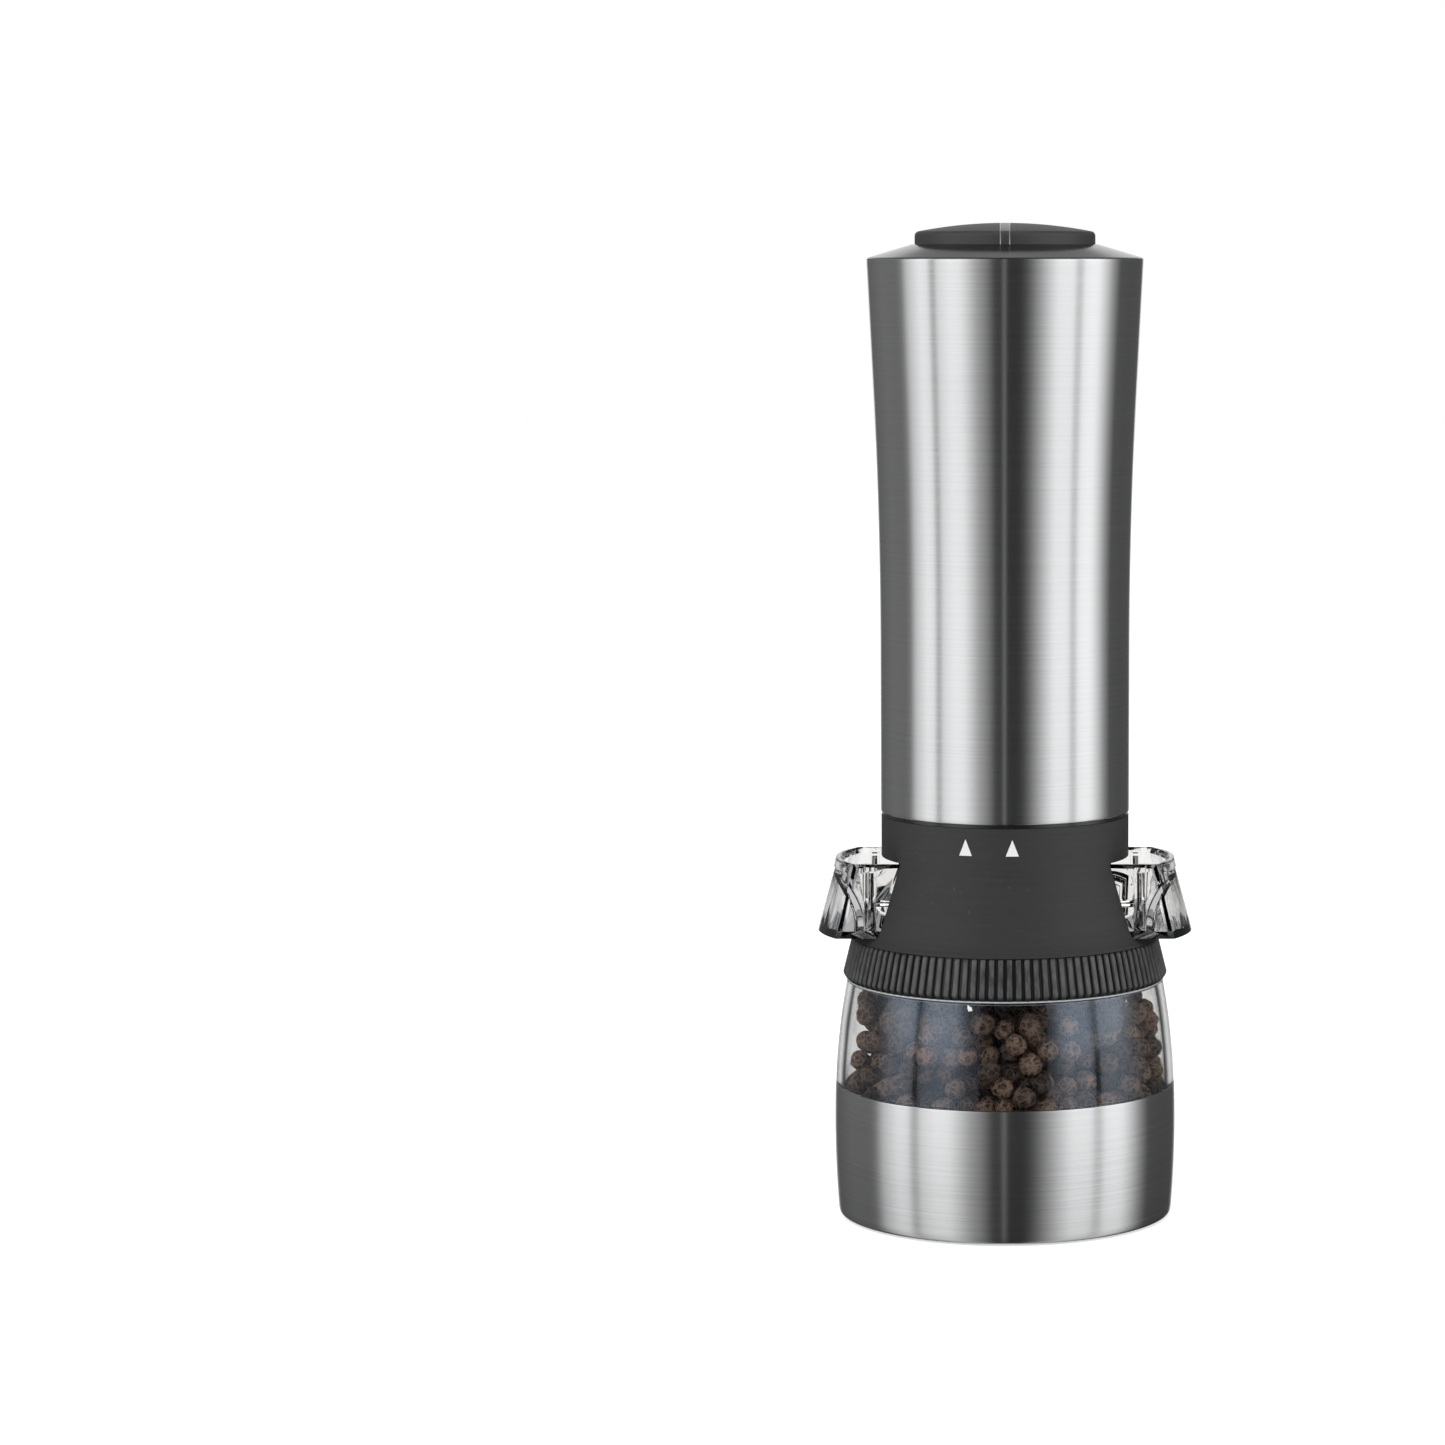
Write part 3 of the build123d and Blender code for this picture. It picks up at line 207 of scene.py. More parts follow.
# ---------- materials ----------
def brushed_steel():
    """Stainless steel brushed round the axis: fine level lines, reflections drawn out up and down."""
    m, t = new_material("brushed_steel")
    fine = mottle(t, (30, 30, 9000), 3.0, 0.7)
    broad = mottle(t, (22, 22, 2600), 2.0, 0.5)
    both = calc(t, "ADD", fine, broad)
    colour = ramp(t, span(t, both, 0.0, 1.0, 0.7, 1.3), [(0.0, (0.60, 0.605, 0.61, 1)),
                                                         (0.5, (0.64, 0.645, 0.65, 1)),
                                                         (1.0, (0.68, 0.685, 0.69, 1))])
    rough = span(t, both, 0.20, 0.26, 0.7, 1.3)
    tangent = node(t, "Tangent", direction_type="RADIAL", axis="Z").outputs["Tangent"]
    normal = bumped(t, fine, 0.000002, 0.15)
    s = node(t, "BsdfPrincipled", {"Base Color": colour, "Metallic": 1.0, "Roughness": rough,
                                   "Anisotropic": 1.0, "Anisotropic Rotation": 0.25,
                                   "Tangent": tangent, "Normal": normal})
    close(t, s.outputs[0])
    return m


def moulded(name, base, rough, vary=0.12, grain=9000, depth=0.000012, streak=False,
            tint=(1.0, 1.0, 1.0)):
    """Moulded plastic: a fine eroded skin, slow colour drift and a few dust flecks."""
    m, t = new_material(name)
    drift = mottle(t, (60, 60, 60), 3.0, 0.5)
    skin = mottle(t, (grain, grain, grain), 2.0, 0.5)
    if streak:
        # level lines, as on turned plastic; 0.66 brings the average back to a half
        lines = mottle(t, (60, 60, 2600), 3.0, 0.6)
        drift = times(t, calc(t, "MULTIPLY_ADD", drift, lines, lines), 0.66)
    flecks = ramp(t, mottle(t, (1500, 1500, 1500), 0.0, 0.5), [(0.0, 0.0), (0.80, 0.0), (0.84, 0.35)])
    plain = ramp(t, drift, [(0.3, tinted(tint, base * (1 - vary))),
                            (0.7, tinted(tint, base * (1 + vary)))])
    dusty = blended(t, flecks, plain, grey(min(1.0, base * 1.8 + 0.03)))
    s = node(t, "BsdfPrincipled", {"Base Color": dusty,
                                   "Roughness": span(t, skin, rough * 0.88, min(1.0, rough * 1.12)),
                                   "Normal": bumped(t, skin, depth, 0.6)})
    close(t, s.outputs[0])
    return m


def ribbed_black():
    """Black plastic of the locking ring: crests painted lighter as a highlight, mottled by wear, and
    painted shade dark down in the grooves.
    """
    m, t = new_material("ring_black")
    co = node(t, "TexCoord").outputs["Object"]
    x, y, z = node(t, "SeparateXYZ", {0: co}).outputs
    flat = node(t, "CombineXYZ", {0: x, 1: y}).outputs[0]
    radius = node(t, "VectorMath", {0: flat}, operation="LENGTH").outputs["Value"]
    crest = calc(t, "MULTIPLY_ADD", z, RING_LEAN, RING_CREST)
    depth = calc(t, "SUBTRACT", crest, radius)
    wear_and_sheen = mottle(t, (900, 900, 300), 3.0, 0.6)
    # painted shade: the colour goes to near black with depth into a groove
    share = node(t, "MapRange", {"Value": depth, "From Min": 0.06 * MM, "From Max": 0.5 * MM}).outputs[0]
    # crest colour lighter than the collar's black as a painted highlight, mottled by wear
    colour = blended(t, share, ramp(t, wear_and_sheen, [(0.3, 0.030), (0.7, 0.085)]), grey(0.008))
    skin = mottle(t, (9000, 9000, 9000), 2.0, 0.5)
    s = node(t, "BsdfPrincipled", {"Base Color": colour, "Roughness": span(t, wear_and_sheen, 0.34, 0.5),
                                   "Normal": bumped(t, skin, 0.000012, 0.6)})
    close(t, s.outputs[0])
    return m


def metal(name, colour, rough, streaks=(2500, 2500, 400)):
    """Machined or plated metal with faint streaks; streaks in cells per metre."""
    m, t = new_material(name)
    n = mottle(t, streaks, 4.0, 0.6)
    shade = ramp(t, n, [(0.3, tinted(colour, 0.82)), (0.7, tinted(colour, 1.1))])
    s = node(t, "BsdfPrincipled", {"Base Color": shade, "Metallic": 1.0,
                                   "Roughness": span(t, n, rough * 0.8, rough * 1.25),
                                   "Normal": bumped(t, n, 0.00002, 0.3)})
    close(t, s.outputs[0])
    return m


def clear_plastic(name, wave, smoke=0.0, shade_below=None):
    """Polished clear plastic with the faint waviness of a moulding.

    smoke is what it absorbs per metre; below the height given last its colour is painted dark grey,
    painted shade for the thick floor plate's dark look.
    """
    m, t = new_material(name)
    waves = mottle(t, (90, 90, 55), 1.0, 0.4)
    tint = (0.985, 0.992, 1.0)
    drift = mottle(t, (40, 40, 40), 2.0, 0.5)
    colour = ramp(t, drift, [(0.3, tinted(tint, 0.965)), (0.7, tinted(tint, 1.0))])
    if shade_below:
        z = node(t, "SeparateXYZ", {0: node(t, "TexCoord").outputs["Object"]}).outputs["Z"]
        # painted shade: below this height the drawer's floor plate is tinted dark grey
        low = falling(t, z, shade_below - 0.1 * MM, shade_below + 0.1 * MM)
        colour = blended(t, low, colour, grey(0.22))
    s = node(t, "BsdfPrincipled", {"Base Color": colour, "Roughness": 0.0, "IOR": 1.60,
                                   "Transmission Weight": 1.0, "Specular Tint": (0.66, 0.80, 1.0, 1.0),
                                   "Normal": bumped(t, waves, wave, 0.5)})
    out = close(t, s.outputs[0])
    if smoke:
        haze = node(t, "VolumeAbsorption", {"Color": (0.0, 0.02, 0.04, 1.0), "Density": smoke})
        t.links.new(haze.outputs[0], out.inputs["Volume"])
    return m


def pepper():
    """Dried peppercorn skin: valleys dark, partly their own colour and partly painted shade; ridges tan,
    partly their own colour and partly painted highlight; each corn its own tone.

    The mesh carries both attributes: tone is a corn's shade, skin its own place in the pattern.
    """
    m, t = new_material("peppercorn")
    tone = node(t, "Attribute", attribute_name="tone").outputs["Fac"]
    skin = node(t, "Attribute", attribute_name="skin").outputs["Vector"]
    bend = node(t, "TexNoise", {"Vector": skin, "Scale": 1.7, "Detail": 3.0, "Roughness": 0.6})
    bent = node(t, "VectorMath", {0: bend.outputs["Color"], 1: (0.9, 0.9, 0.9)}, operation="MULTIPLY")
    place = node(t, "VectorMath", {0: skin, 1: bent.outputs[0]}, operation="ADD").outputs[0]

    def net(scale, start, end):
        """Wrinkles: 1 along the borders of the net's cells."""
        cells = node(t, "TexVoronoi", {"Vector": place, "Scale": scale}, feature="DISTANCE_TO_EDGE")
        return falling(t, cells.outputs["Distance"], start, end)

    fine = node(t, "TexNoise", {"Vector": skin, "Scale": 7.0, "Detail": 4.0,
                                "Roughness": 0.65}).outputs["Fac"]
    coarse = net(1.45, 0.01, 0.27)
    thin = times(t, net(2.9, 0.02, 0.17), 0.5)
    ridge = calc(t, "MAXIMUM", coarse, thin)
    lift = times(t, ridge, span(t, fine, 0.35, 1.0, 0.3, 0.7))
    # valleys: the corn's own dark brown, darkened further as painted shade in the creases
    valley = ramp(t, tone, [(0.0, (0.010, 0.009, 0.009, 1)), (0.35, (0.044, 0.030, 0.025, 1)),
                            (0.7, (0.075, 0.048, 0.036, 1)), (0.93, (0.11, 0.060, 0.040, 1)),
                            (1.0, (0.24, 0.095, 0.04, 1))])
    # crests: light tan, much lighter than the corn's own colour, partly a painted highlight
    crest = ramp(t, tone, [(0.0, (0.20, 0.165, 0.15, 1)), (0.4, (0.78, 0.55, 0.42, 1)),
                           (0.8, (0.95, 0.66, 0.49, 1)), (1.0, (0.95, 0.48, 0.23, 1))])
    height = calc(t, "ADD", lift, fine)
    s = node(t, "BsdfPrincipled", {"Base Color": blended(t, lift, valley, crest),
                                   "Roughness": span(t, fine, 0.42, 0.65), "Specular IOR Level": 0.35,
                                   "Normal": bumped(t, height, 0.00034, 0.9)})
    close(t, s.outputs[0])
    return m


MATERIALS = {
    "brushed_steel": brushed_steel(),
    "black_matte": moulded("black_matte", 0.0245, 0.62, streak=True),
    "ring_black": ribbed_black(),
    "black_gloss": moulded("black_gloss", 0.012, 0.14, depth=0.000002, grain=3000),
    "button_black": moulded("button_black", 0.042, 0.5),
    "rib_grey": moulded("rib_grey", 0.05, 0.3),
    "white_print": moulded("white_print", 0.82, 0.55, vary=0.05),
    "clear_plastic": clear_plastic("clear_plastic", wave=0.00006),
    # its floor plate gets painted shade
    "clear_drawer": clear_plastic("clear_drawer", wave=0.000015, smoke=16.0,
                                  shade_below=DRAWER_FOOT_Z + DRAWER_FLOOR),
    # painted highlight: opaque light grey for the bright lines on the clear container
    "painted_glint": moulded("painted_glint", 0.62, 0.3, vary=0.1, tint=(0.9, 0.96, 1.0)),
    "peppercorns": pepper(),
    "white_ceramic": moulded("white_ceramic", 0.8, 0.35, vary=0.05, tint=(1.0, 0.99, 0.95)),
    "knob_grey": moulded("knob_grey", 0.25, 0.5),
    "zinc_steel": metal("zinc_steel", (0.55, 0.55, 0.56), 0.35),
    "spring_steel": metal("spring_steel", (0.5, 0.5, 0.51), 0.3),
    "gear_nylon": moulded("gear_nylon", 0.78, 0.42, vary=0.05, tint=(1.0, 0.985, 0.92)),
    "brass_pinion": metal("brass_pinion", (0.78, 0.57, 0.25), 0.28),
    "frame_grey": moulded("frame_grey", 0.12, 0.55),
    "motor_steel": metal("motor_steel", (0.58, 0.58, 0.58), 0.32, (300, 300, 3000)),
    "magnet_ferrite": moulded("magnet_ferrite", 0.08, 0.6, tint=(1.0, 0.97, 0.94)),
    "copper_winding": metal("copper_winding", (0.72, 0.36, 0.18), 0.35, (200, 200, 5000)),
    "contact_metal": metal("contact_metal", (0.70, 0.70, 0.68), 0.3),
    "board_green": moulded("board_green", 0.2, 0.4, tint=(0.15, 1.0, 0.4)),
    "switch_black": moulded("switch_black", 0.03, 0.45),
    "battery_jacket": moulded("battery_jacket", 0.18, 0.35, tint=(0.8, 0.88, 1.1)),
}
SLOT_OF = {row["node"]: row["material_slot"] for row in frame["record"]["subparts"]}
for name, obj in frame["nodes"].items():
    obj.data.materials.clear()
    obj.data.materials.append(MATERIALS[SLOT_OF[name]])


# ---------- mesh helpers ----------
def placed(mesh, slot, body, replaces=(), sharp=32.0):
    """An object of the mesh that rides on body and stands for the replaced nodes."""
    mesh.polygons.foreach_set("use_smooth", [True] * len(mesh.polygons))
    mesh.set_sharp_from_angle(angle=math.radians(sharp))
    obj = bpy.data.objects.new(mesh.name, mesh)
    bpy.context.scene.collection.objects.link(obj)
    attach(obj, body)
    if replaces:
        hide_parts(*replaces)
    return obj


def piece(name, verts, faces, slot, body, replaces=(), sharp=32.0, look=None):
    """A closed mesh as a piece; look is its material, where that isn't the slot's own."""
    mesh = bpy.data.meshes.new(name)
    mesh.from_pydata([tuple(v) for v in verts], [], faces)
    bm = bmesh.new()
    bm.from_mesh(mesh)
    bmesh.ops.remove_doubles(bm, verts=bm.verts, dist=1e-7)
    bmesh.ops.recalc_face_normals(bm, faces=bm.faces)
    bm.to_mesh(mesh)
    bm.free()
    mesh.materials.append(MATERIALS[look or slot])
    return placed(mesh, slot, body, replaces, sharp)


def softened(points, steps=4):
    """Closed outline of (r, z) or (r, z, radius) points, its corners rounded by their radius."""
    out = []
    for i, point in enumerate(points):
        radius = point[2] if len(point) > 2 else 0.0
        here = Vector(point[:2])
        a = Vector(points[i - 1][:2]) - here
        b = Vector(points[(i + 1) % len(points)][:2]) - here
        turn = a.angle(b, math.pi)
        if radius <= 0 or turn > math.radians(178):
            out.append(tuple(here))
            continue
        reach = min(radius / math.tan(turn / 2), 0.45 * a.length, 0.45 * b.length)
        start, end = here + a.normalized() * reach, here + b.normalized() * reach
        for k in range(steps + 1):
            u = k / steps
            out.append(tuple(start * (1 - u) ** 2 + here * 2 * u * (1 - u) + end * u * u))
    return out


def round_faces(loops, segments):
    """Four-sided faces between loops of segments points each, the last loop joined to the first."""
    faces = []
    for i in range(loops):
        here, beyond = i * segments, (i + 1) % loops * segments
        for k in range(segments):
            n = (k + 1) % segments
            faces.append((here + k, here + n, beyond + n, beyond + k))
    return faces


def round_angles(segments):
    return [2 * math.pi * k / segments for k in range(segments)]


def turned(name, outline, slot, body, replaces=(), look=None):
    """Closed (r, z) outline turned about the axis."""
    angles = round_angles(SEGMENTS)
    verts = [(r * math.cos(a), r * math.sin(a), z) for r, z in outline for a in angles]
    piece(name, verts, round_faces(len(outline), SEGMENTS), slot, body, replaces, look=look)


def arc_r(z, widest, z_widest, bend):
    """Radius at z of a wall that bulges to widest at z_widest, bent with radius bend."""
    return widest - bend + math.sqrt(bend ** 2 - (z - z_widest) ** 2)


def cad_copy(node_name, body, slot, look=None, rework=None, sharp=38.0):
    """A copy of the CAD node's own faces, reworked as a bmesh, that stands for the node."""
    bm = bmesh.new()
    bm.from_mesh(frame["nodes"][node_name].data)
    bmesh.ops.remove_doubles(bm, verts=bm.verts, dist=1e-6)
    if rework:
        rework(bm)
    mesh = bpy.data.meshes.new(node_name + "_soft")
    bm.to_mesh(mesh)
    bm.free()
    mesh.materials.append(MATERIALS[look or slot])
    return placed(mesh, slot, body, [node_name], sharp)


def softened_copy(node_name, body, width, slot, look=None, first=None):
    """The CAD node with every sharp edge rounded by width; first may cut larger slants."""
    def rework(bm):
        bmesh.ops.dissolve_limit(bm, angle_limit=math.radians(0.5), verts=bm.verts, edges=bm.edges)
        if first:
            first(bm)
        edges = [e for e in bm.edges if e.is_manifold and e.calc_face_angle() > math.radians(24)]
        bmesh.ops.bevel(bm, geom=edges, offset=width, offset_type="OFFSET", segments=2, profile=0.5,
                        affect="EDGES", clamp_overlap=True)
        bmesh.ops.remove_doubles(bm, verts=bm.verts, dist=2e-6)
    return cad_copy(node_name, body, slot, look, rework)


POST_SLANT, RAIL_SLANT, CORNER_SLANT = 0.48 * MM, 0.62 * MM, 0.35 * MM
RIM_SLANT, BACK_SLANT = 1.20 * MM, 1.10 * MM
POST_SLOT = 6.8 * MM, 7.8 * MM          # the slot's two walls, from the drawer's inner end
CORNERS_FROM = 9.0 * MM                 # corners further out than this get a slant
RAIL_H = 1.4 * MM


def light_traps(bm):
    """Slants that turn light aside, so that the drawer's rim, post, rails and floor look dark."""
    top, foot = max(v.co.z for v in bm.verts), min(v.co.z for v in bm.verts)
    half = max(v.co.y for v in bm.verts)
    inner_end = min(abs(v.co.x) for v in bm.verts)
    rail = (top + foot) / 2
    slot = [inner_end + wall for wall in POST_SLOT]

    def at(edge, axis, places, slack=0.1 * MM):
        """Whether both ends lie at one of the places along the axis, on either side of the middle."""
        return any(all(abs(abs(v.co[axis]) - place) < slack for v in edge.verts) for place in places)

    def upright(edge):
        a, b = (v.co for v in edge.verts)
        return abs(a.z - b.z) > 0.8 * (a - b).length

    def post(edge):
        return upright(edge) and not edge.is_convex and at(edge, 0, slot)

    def rails(edge):
        return edge.is_convex and not upright(edge) and at(edge, 2, (rail, rail - RAIL_H))

    def corner(edge):
        outside = all(abs(v.co.x) > inner_end + CORNERS_FROM and v.co.z > foot + 1 * MM
                      for v in edge.verts)
        return outside and upright(edge) and not edge.is_convex

    def rim_inside(edge):
        walls = [f for f in edge.link_faces if f.normal.z < 0.5]
        inwards = any(f.normal.dot(f.calc_center_median()) < 0 for f in walls)
        return inwards and at(edge, 2, (top,), 0.02 * MM)

    def under_back(edge):
        return at(edge, 2, (foot,)) and all(v.co.y > half - 0.8 * MM for v in edge.verts)

    for width, wanted in ((POST_SLANT, post), (RAIL_SLANT, rails), (CORNER_SLANT, corner),
                          (RIM_SLANT, rim_inside), (BACK_SLANT, under_back)):
        edges = [e for e in bm.edges if e.is_manifold and e.calc_face_angle() > 0.4 and wanted(e)]
        bmesh.ops.bevel(bm, geom=edges, offset=width, offset_type="OFFSET", segments=1, profile=0.5,
                        affect="EDGES", clamp_overlap=False)


def higher_marks(bm):
    """Lifts the two triangles to where the photograph shows them on the neck."""
    for v in bm.verts:
        v.co.z += MARK_LIFT


def fill_gap(bm):
    """Widens the strip between the button's halves until it all but touches them."""
    for v in bm.verts:
        if v.co.z > CAP_HI.z - 1.0 * MM:
            v.co.x *= DIVIDER_SPREAD


# ---------- steel band of the base ----------
def band_r(z):
    return arc_r(z, BAND_R, BAND_BULGE_Z, BAND_BEND)


def steel_band():
    foot, top = BASE_LO.z, BASE_HI.z
    lip_z = foot + BAND_LIP_H
    outer = [(band_r(z), z) for z in np.linspace(foot + 1.6 * MM, top - 0.5 * MM, 24)]
    outline = softened([(BAND_LIP_R, lip_z, 0.1 * MM), (BAND_LIP_R, foot, 0.2 * MM),
                        (band_r(lip_z) - 0.15 * MM, foot, 1.1 * MM), *outer,
                        (band_r(top), top, 0.22 * MM), (band_r(top) - STEEL_WALL, top, 0.15 * MM),
                        (band_r(lip_z) - STEEL_WALL, lip_z)])
    turned("steel_band", outline, "brushed_steel", "base", ["base_sleeve"])


# ---------- steel body ----------
def sleeve_r(z):
    """Outer radius: straight, then an arc, then a straight flare."""
    rise = z - (BODY_LO.z + STRAIGHT_H)
    if rise <= 0:
        return SLEEVE_R
    end = SLEEVE_BEND * math.sin(FLARE)
    if rise < end:
        return SLEEVE_R + SLEEVE_BEND - math.sqrt(SLEEVE_BEND ** 2 - rise ** 2)
    return SLEEVE_R + SLEEVE_BEND * (1 - math.cos(FLARE)) + (rise - end) * math.tan(FLARE)


def steel_body():
    foot, top = BODY_LO.z, BODY_HI.z
    outer = [(sleeve_r(z), z) for z in np.linspace(foot + 1.0 * MM, top - 1.0 * MM, 48)]
    inner = [(r - STEEL_WALL, z) for r, z in outer[::-6]]
    outline = softened([(SLEEVE_R, foot, 0.25 * MM), *outer, (sleeve_r(top), top, 0.3 * MM),
                        (sleeve_r(top) - STEEL_WALL, top, 0.2 * MM), *inner,
                        (SLEEVE_R - STEEL_WALL, foot, 0.2 * MM)])
    turned("steel_body", outline, "brushed_steel", "head", ["body_sleeve"])


# ---------- clear container ----------
def bowl_r(z, inset=0.0):
    return arc_r(z, BOWL_R - inset, BOWL_BULGE_Z, BOWL_BEND)


def clear_bowl():
    """From the rim on the band up to the shoulder, the neck inside the ring, and down again inside."""
    rim, neck_top, skirt_z = BASE_HI.z, BOWL_HI.z, BOWL_LO.z + SKIRT_H
    inner_z = rim - 1.0 * MM
    skirt_r = band_r(rim) - STEEL_WALL - CLEARANCE
    outer = [(bowl_r(z), z) for z in np.linspace(rim + 0.6 * MM, SHOULDER_Z - 0.8 * MM, 20)]
    inner = [(bowl_r(z, GLASS_WALL), z) for z in np.linspace(SHOULDER_Z - SHOULDER_T, inner_z, 20)]
    outline = softened([
        (bowl_r(rim), rim, 0.25 * MM), *outer, (bowl_r(SHOULDER_Z), SHOULDER_Z, 0.5 * MM),
        (NECK_R, SHOULDER_Z, 0.3 * MM), (NECK_R, neck_top, 0.3 * MM), (NECK_BORE, neck_top, 0.3 * MM),
        (NECK_BORE, SHOULDER_Z - 0.9 * MM, 0.3 * MM), *inner,
        (bowl_r(inner_z, GLASS_WALL) - 1 * MM, inner_z - 2 * MM, 0.8 * MM),
        (GRINDER_R, GRINDER_TOP_Z, 0.3 * MM), (GRINDER_R, GRINDER_FOOT_Z),
        (GRINDER_SEAT_R, GRINDER_FOOT_Z), (skirt_r - 2.2 * MM, skirt_z),
        (skirt_r - 0.05 * MM, skirt_z), (skirt_r - 0.05 * MM, rim)])
    turned("clear_bowl", outline, "clear_plastic", "base", ["container"])


def glint_bead(name, radius, z, size):
    """Light grey line round the container, a painted highlight standing for the glint of the clear edge.
    """
    outline = [(radius + size * math.cos(a), z + size * math.sin(a)) for a in round_angles(8)]
    turned(name, outline, "clear_plastic", "base", look="painted_glint")


# ---------- knurled ring ----------
def rib_groove(share):
    """Depth of the groove, 0 to 1, at a share of the pitch; the groove's middle is at 0 and 1."""
    nearness = abs(2 * share - 1)
    u = min(1.0, max(0.0, (nearness - GROOVE_START) / (GROOVE_END - GROOVE_START)))
    return u * u * (3 - 2 * u)


def knurled():
    """Ribbed outside in rows of (height, crest radius, share of the groove's depth), plain bore."""
    foot, top, edge = RING_LO.z, RING_HI.z, RING_LO.z + RING_CHAMFER_H
    foot_r = RING_WIDEST - RING_CHAMFER
    rows = [(foot, foot_r - 0.12 * MM, 0.75), (foot + 0.1 * MM, foot_r, 1.0),
            (edge - 0.12 * MM, RING_WIDEST - 0.1 * MM, 1.0),
            (edge + 0.15 * MM, RING_WIDEST - 0.03 * MM, 1.0)]
    rows += [(z, RING_WIDEST + RING_LEAN * (z - edge), 1.0)
             for z in np.linspace(edge + 1 * MM, top - 0.7 * MM, 6)]
    rows += [(top - 0.35 * MM, RING_NARROW - 0.02 * MM, 1.0),
             (top - 0.12 * MM, RING_NARROW - 0.14 * MM, 0.85), (top, RING_NARROW - 0.4 * MM, 0.5)]
    segments = RIBS * RIB_STEPS
    angles = round_angles(segments)
    grooves = [rib_groove((k % RIB_STEPS) / RIB_STEPS) for k in range(segments)]
    verts = []
    for z, crest, share in rows:
        for a, groove in zip(angles, grooves):
            r = crest - RIB_DEPTH * share * groove
            verts.append((r * math.cos(a), r * math.sin(a), z))
    for z in (top, foot):
        verts += [(RING_BORE * math.cos(a), RING_BORE * math.sin(a), z) for a in angles]
    piece("ribbed_ring", verts, round_faces(len(rows) + 2, segments), "black_matte", "locking_ring",
          ["knurled_ring"], sharp=50.0, look="ring_black")


# ---------- cap ----------
def cap():
    """A low cone from the button's bore to the body's rim, with a skirt inside the body."""
    rim_z, rim_r, inside_z = BODY_HI.z, sleeve_r(BODY_HI.z), BODY_HI.z - STEEL_WALL
    skirt_r = sleeve_r(CAP_LO.z) - STEEL_WALL - CLEARANCE
    cone = [(CAP_BORE + (rim_r - CAP_BORE) * u, CAP_HI.z + (rim_z - CAP_HI.z) * u)
            for u in (0.1, 0.3, 0.5, 0.7, 0.9)]
    outline = softened([(CAP_BORE, CAP_HI.z, 0.3 * MM), *cone,
                        (rim_r - 0.05 * MM, rim_z + 0.02 * MM, 0.1 * MM),
                        (skirt_r, rim_z - 0.05 * MM, 0.05 * MM), (skirt_r, CAP_LO.z, 0.2 * MM),
                        (CAP_SKIRT_BORE, CAP_LO.z, 0.2 * MM), (CAP_SKIRT_BORE, inside_z, 0.2 * MM),
                        (CAP_BORE, inside_z, 0.2 * MM)])
    turned("cap_cone", outline, "black_gloss", "head", ["top_cap"])


# ---------- springs under the button halves ----------
def button_spring(side):
    """A copy of the CAD spring."""
    node_name, joint = side + "_button_spring", side + "_button_press"
    obj = cad_copy(node_name, "head", SLOT_OF[node_name])
    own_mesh(obj)


# ---------- peppercorns ----------
def on_sphere(points):
    return points / np.linalg.norm(points, axis=1)[:, None]


def corn_shapes():
    """Eight unit peppercorns, round and dented, with a net of wrinkled ridges, and their faces."""
    bm = bmesh.new()
    bmesh.ops.create_icosphere(bm, subdivisions=3, radius=1.0)
    ball = on_sphere(np.array([v.co[:] for v in bm.verts]))
    faces = [tuple(v.index for v in f.verts) for f in bm.faces]
    bm.free()
    rng = np.random.default_rng(11)
    shapes = []
    for _ in range(8):
        cells = on_sphere(rng.normal(size=(40, 3)))
        near = np.sort(np.arccos(np.clip(ball @ cells.T, -1, 1)), axis=1)
        ridge = np.exp(-((near[:, 1] - near[:, 0]) / 0.12) ** 2)
        waves = sum(np.sin(ball @ rng.normal(size=3) * pitch + rng.uniform(0, 6.28)) / pitch
                    for pitch in (2.0, 3.1, 4.7, 7.3))
        radius = 0.92 + 0.085 * ridge + 0.05 * waves
        shapes.append(ball * radius[:, None])
    return shapes, faces


def settle(wall_in, floor_z, top_z, count, steps):
    """Drops round grains into the container and pushes them apart until they rest."""
    rng = np.random.default_rng(5)
    radii = CORN_R * rng.uniform(0.93, 1.06, count)
    around = rng.uniform(0, 2 * math.pi, count)
    out = np.sqrt(rng.uniform(0.04, 1.0, count)) * (wall_in(floor_z) - CORN_R)
    height = rng.uniform(floor_z, top_z + 12 * MM, count)
    p = np.stack([out * np.cos(around), out * np.sin(around), height], 1)
    for step in range(steps):
        p[:, 2] -= 0.25 * MM * (1.0 - step / steps)
        for _ in range(2):
            apart = p[:, None, :] - p[None, :, :]
            distance = np.sqrt((apart ** 2).sum(-1)) + np.eye(count)
            overlap = np.maximum(radii[:, None] + radii[None, :] - distance, 0)
            np.fill_diagonal(overlap, 0)
            p += ((overlap / distance * 0.5)[:, :, None] * apart).sum(1) * 0.75
            flat = np.hypot(p[:, 0], p[:, 1]) + 1e-9
            reach = np.array([wall_in(z) for z in p[:, 2]]) - radii
            p[:, :2] *= np.minimum(1.0, reach / flat)[:, None]
            p[:, :2] *= np.maximum(1.0, (SHAFT_ROOM + radii) / flat)[:, None]
            p[:, 2] = np.maximum(p[:, 2], floor_z + radii)
    return p, radii


